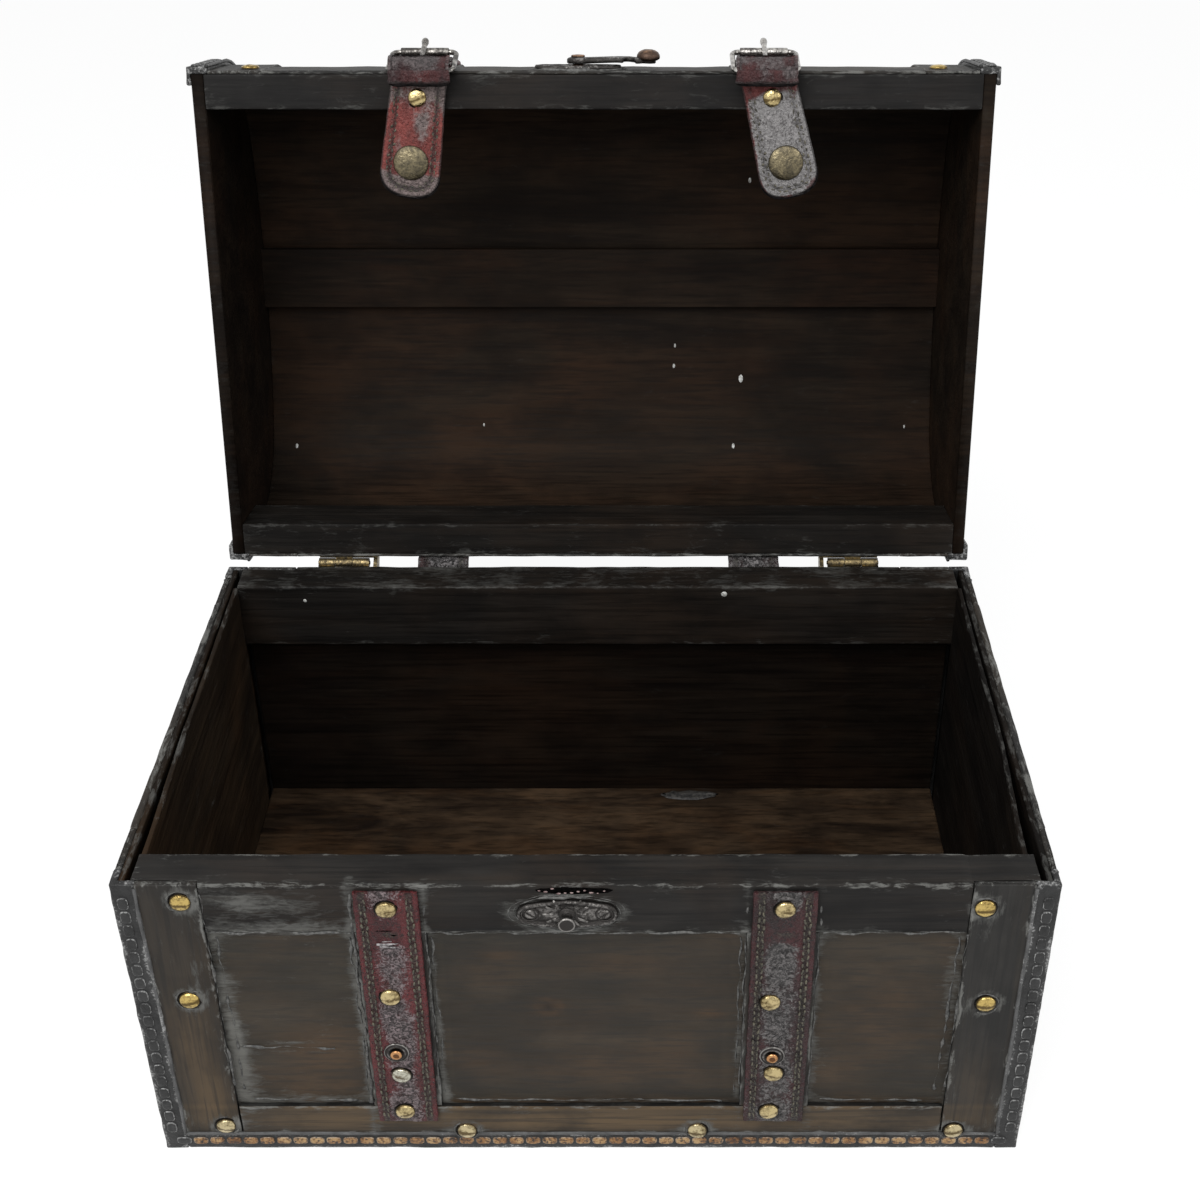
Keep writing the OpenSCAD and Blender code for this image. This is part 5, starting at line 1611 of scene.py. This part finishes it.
wax_line(wax, oval_line(LATCH_X, STUD_Z, 22.0, 8.6), 0.7, 40, 0.0)
wax_line(wax, oval_line(LATCH_X, STUD_Z, 24.0, 9.6), 0.5, 41, 0.25)
for index, (x, z) in enumerate(FRAME_NAILS):
    wax_line(wax, oval_line(x, z, 5.7, 5.5, 20, 15, 40 * index), 0.6, 50 + index, 0.1)
gleam = Piece()
for z, reach, slope in ((127.4, 5.2, 0.05), (125.8, 4.0, -0.05), (128.9, 3.0, 0.1)):
    shine = [(a - STRAP_X, -HALF_D - STRAP_T - 0.1, z + slope * a) for a in (-reach, 0, reach)]
    wax_line(gleam, shine, 0.75, 80 + reach, -0.2)
gleam.finish("strap_shine", SHINE, "base", "strap_leather")
wax.finish("wax_ridges", WAX, "base", "frame_wood")
lid_wax = Piece(LID)
wax_line(lid_wax, oval_line(LATCH_X, PIVOT_Z, 21.5, 8.2), 1.0, 70, -0.3)
lid_wax.finish("lid_wax_ridge", WAX, "lid", "frame_wood")

# Painted shade: the tear above the latch and two lines across the left strap are flat black.
torn = Piece()
torn_edge = []
for k in range(24):
    a = radians(15 * k)
    torn_edge.append((15.5 * cos(a), 1.7 * sin(a) + 0.7 * cloud((k, 3, 0), 1.6)))
TORN_Z, TORN_LAYERS = 154.4, ((0.1, -0.2, 0), (0, 0.2, 0), (0.3, 0.4, 0))
plate(torn, towards((LATCH_X + 3, -HALF_D, TORN_Z), -Y), torn_edge, TORN_LAYERS, 6, 0.1)
for z, low, high, thick in ((134.2, -7, 5, 0.28), (132.0, 0, 4, 0.55)):
    points = [(a - STRAP_X, -HALF_D - STRAP_T + 0.15, z + 0.4 * cloud((a, z, 0), 4))
              for a in range(low, high + 1)]
    tube(torn, points, [thick * (1.1 - abs(2 * k / (high - low) - 1)) for k in range(high - low + 1)], 6,
         seed=z)
torn.finish("torn_edge", GAP_SHADE, "base", "frame_wood")
splinters = Piece()
for k in range(11):
    rnd = random.Random(300 + k)
    at = towards((LATCH_X - 11 + 2.6 * k, -HALF_D - 0.4, TORN_Z + rnd.uniform(-1.5, 1.2)), -Y)
    size = rnd.uniform(0.25, 0.6)
    lathe(splinters, at @ Matrix.Diagonal((1.7, 0.8, 1.0, 1.0)),
          [(size, -0.2), (size * 0.9, 0.1), (size * 0.5, 0.25), (0, 0.3)], 8, 0.2, k)
splinters.finish("pink_splinters", PINK, "base", "frame_wood")

# CAD pieces shown as they are, with worn finishes
WORN_CAD = {"base_hinge_leaves": HINGE_BRASS, "lid_hinge_leaves": HINGE_BRASS, "hinge_pins": HINGE_BRASS,
            "hinge_stop_tabs": HINGE_BRASS, "base_hinge_screws": DARK_CAD, "lid_hinge_screws": DARK_CAD,
            "lid_crown_batten": BATTEN_WOOD}
for node, material in WORN_CAD.items():
    nodes[node].data.materials.clear()
    nodes[node].data.materials.append(material)


# Floor, light and camera
def add_node(tree, kind, **inputs):
    made = tree.nodes.new(kind)
    for key, value in inputs.items():
        made.inputs[key].default_value = value
    return made


def link(tree, *pairs):
    for source, target in pairs:
        tree.links.new(source, target)


def seen_straight(tree):
    """1 for rays of the camera, of a mirror or through glass."""
    path = add_node(tree, "ShaderNodeLightPath")
    total = path.outputs["Is Camera Ray"]
    for name in ("Is Glossy Ray", "Is Transmission Ray"):
        made = add_node(tree, "ShaderNodeMath")
        made.operation = "MAXIMUM"
        link(tree, (total, made.inputs[0]), (path.outputs[name], made.inputs[1]))
        total = made.outputs[0]
    return total


ground = bpy.data.meshes.new("ground")
ground.from_pydata([(-6, -6, 0), (6, -6, 0), (6, 6, 0), (-6, 6, 0)], [], [(0, 1, 2, 3)])
paper = bpy.data.materials.new("paper")
paper.use_nodes = True
tree = paper.node_tree
matt = tree.nodes["Principled BSDF"]
matt.inputs["Base Color"].default_value = (0.8, 0.8, 0.8, 1)
matt.inputs["Roughness"].default_value = 0.9
dim = add_node(tree, "ShaderNodeBsdfDiffuse", Color=(0.22, 0.22, 0.22, 1))
glow = add_node(tree, "ShaderNodeEmission", Strength=0.86)
lit = add_node(tree, "ShaderNodeAddShader")
choose = add_node(tree, "ShaderNodeMixShader")
link(tree, (dim.outputs[0], lit.inputs[0]), (glow.outputs[0], lit.inputs[1]),
     (seen_straight(tree), choose.inputs[0]), (matt.outputs[0], choose.inputs[1]),
     (lit.outputs[0], choose.inputs[2]),
     (choose.outputs[0], tree.nodes["Material Output"].inputs["Surface"]))
ground.materials.append(paper)
ground_obj = new_object("ground", ground)

world = bpy.data.worlds.new("studio")
bpy.context.scene.world = world
world.use_nodes = True
tree = world.node_tree
tree.nodes.clear()
seen = add_node(tree, "ShaderNodeMixShader")
fill = add_node(tree, "ShaderNodeBackground", Color=(0.98, 0.99, 1.0, 1), Strength=0.4)
white = add_node(tree, "ShaderNodeBackground", Color=(1, 1, 1, 1), Strength=1.0)
out = add_node(tree, "ShaderNodeOutputWorld")
link(tree, (seen_straight(tree), seen.inputs["Fac"]), (fill.outputs[0], seen.inputs[1]),
     (white.outputs[0], seen.inputs[2]), (seen.outputs[0], out.inputs["Surface"]))


def lamp(name, place, aim, size, power):
    data = bpy.data.lights.new(name, "AREA")
    data.size = size
    data.energy = power
    obj = new_object(name, data)
    obj.location = place
    obj.rotation_euler = (Vector(aim) - Vector(place)).to_track_quat("-Z", "Y").to_euler()


lamp("key", (-0.5, -1.0, 1.5), (0, 0, 0.1), 1.2, 26)
lamp("side", (1.3, -0.5, 1.0), (0, 0, 0.15), 0.9, 8)

camera = bpy.data.cameras.new("camera")
camera.sensor_width = 36
camera.lens = 51.84
camera.shift_x = -0.0357
camera_obj = new_object("camera", camera)
camera_obj.location = (0.0229, -0.6344, 0.627)
camera_obj.rotation_euler = (radians(56.96), 0, 0)
bpy.context.scene.camera = camera_obj
bpy.context.scene.view_settings.view_transform = "Standard"
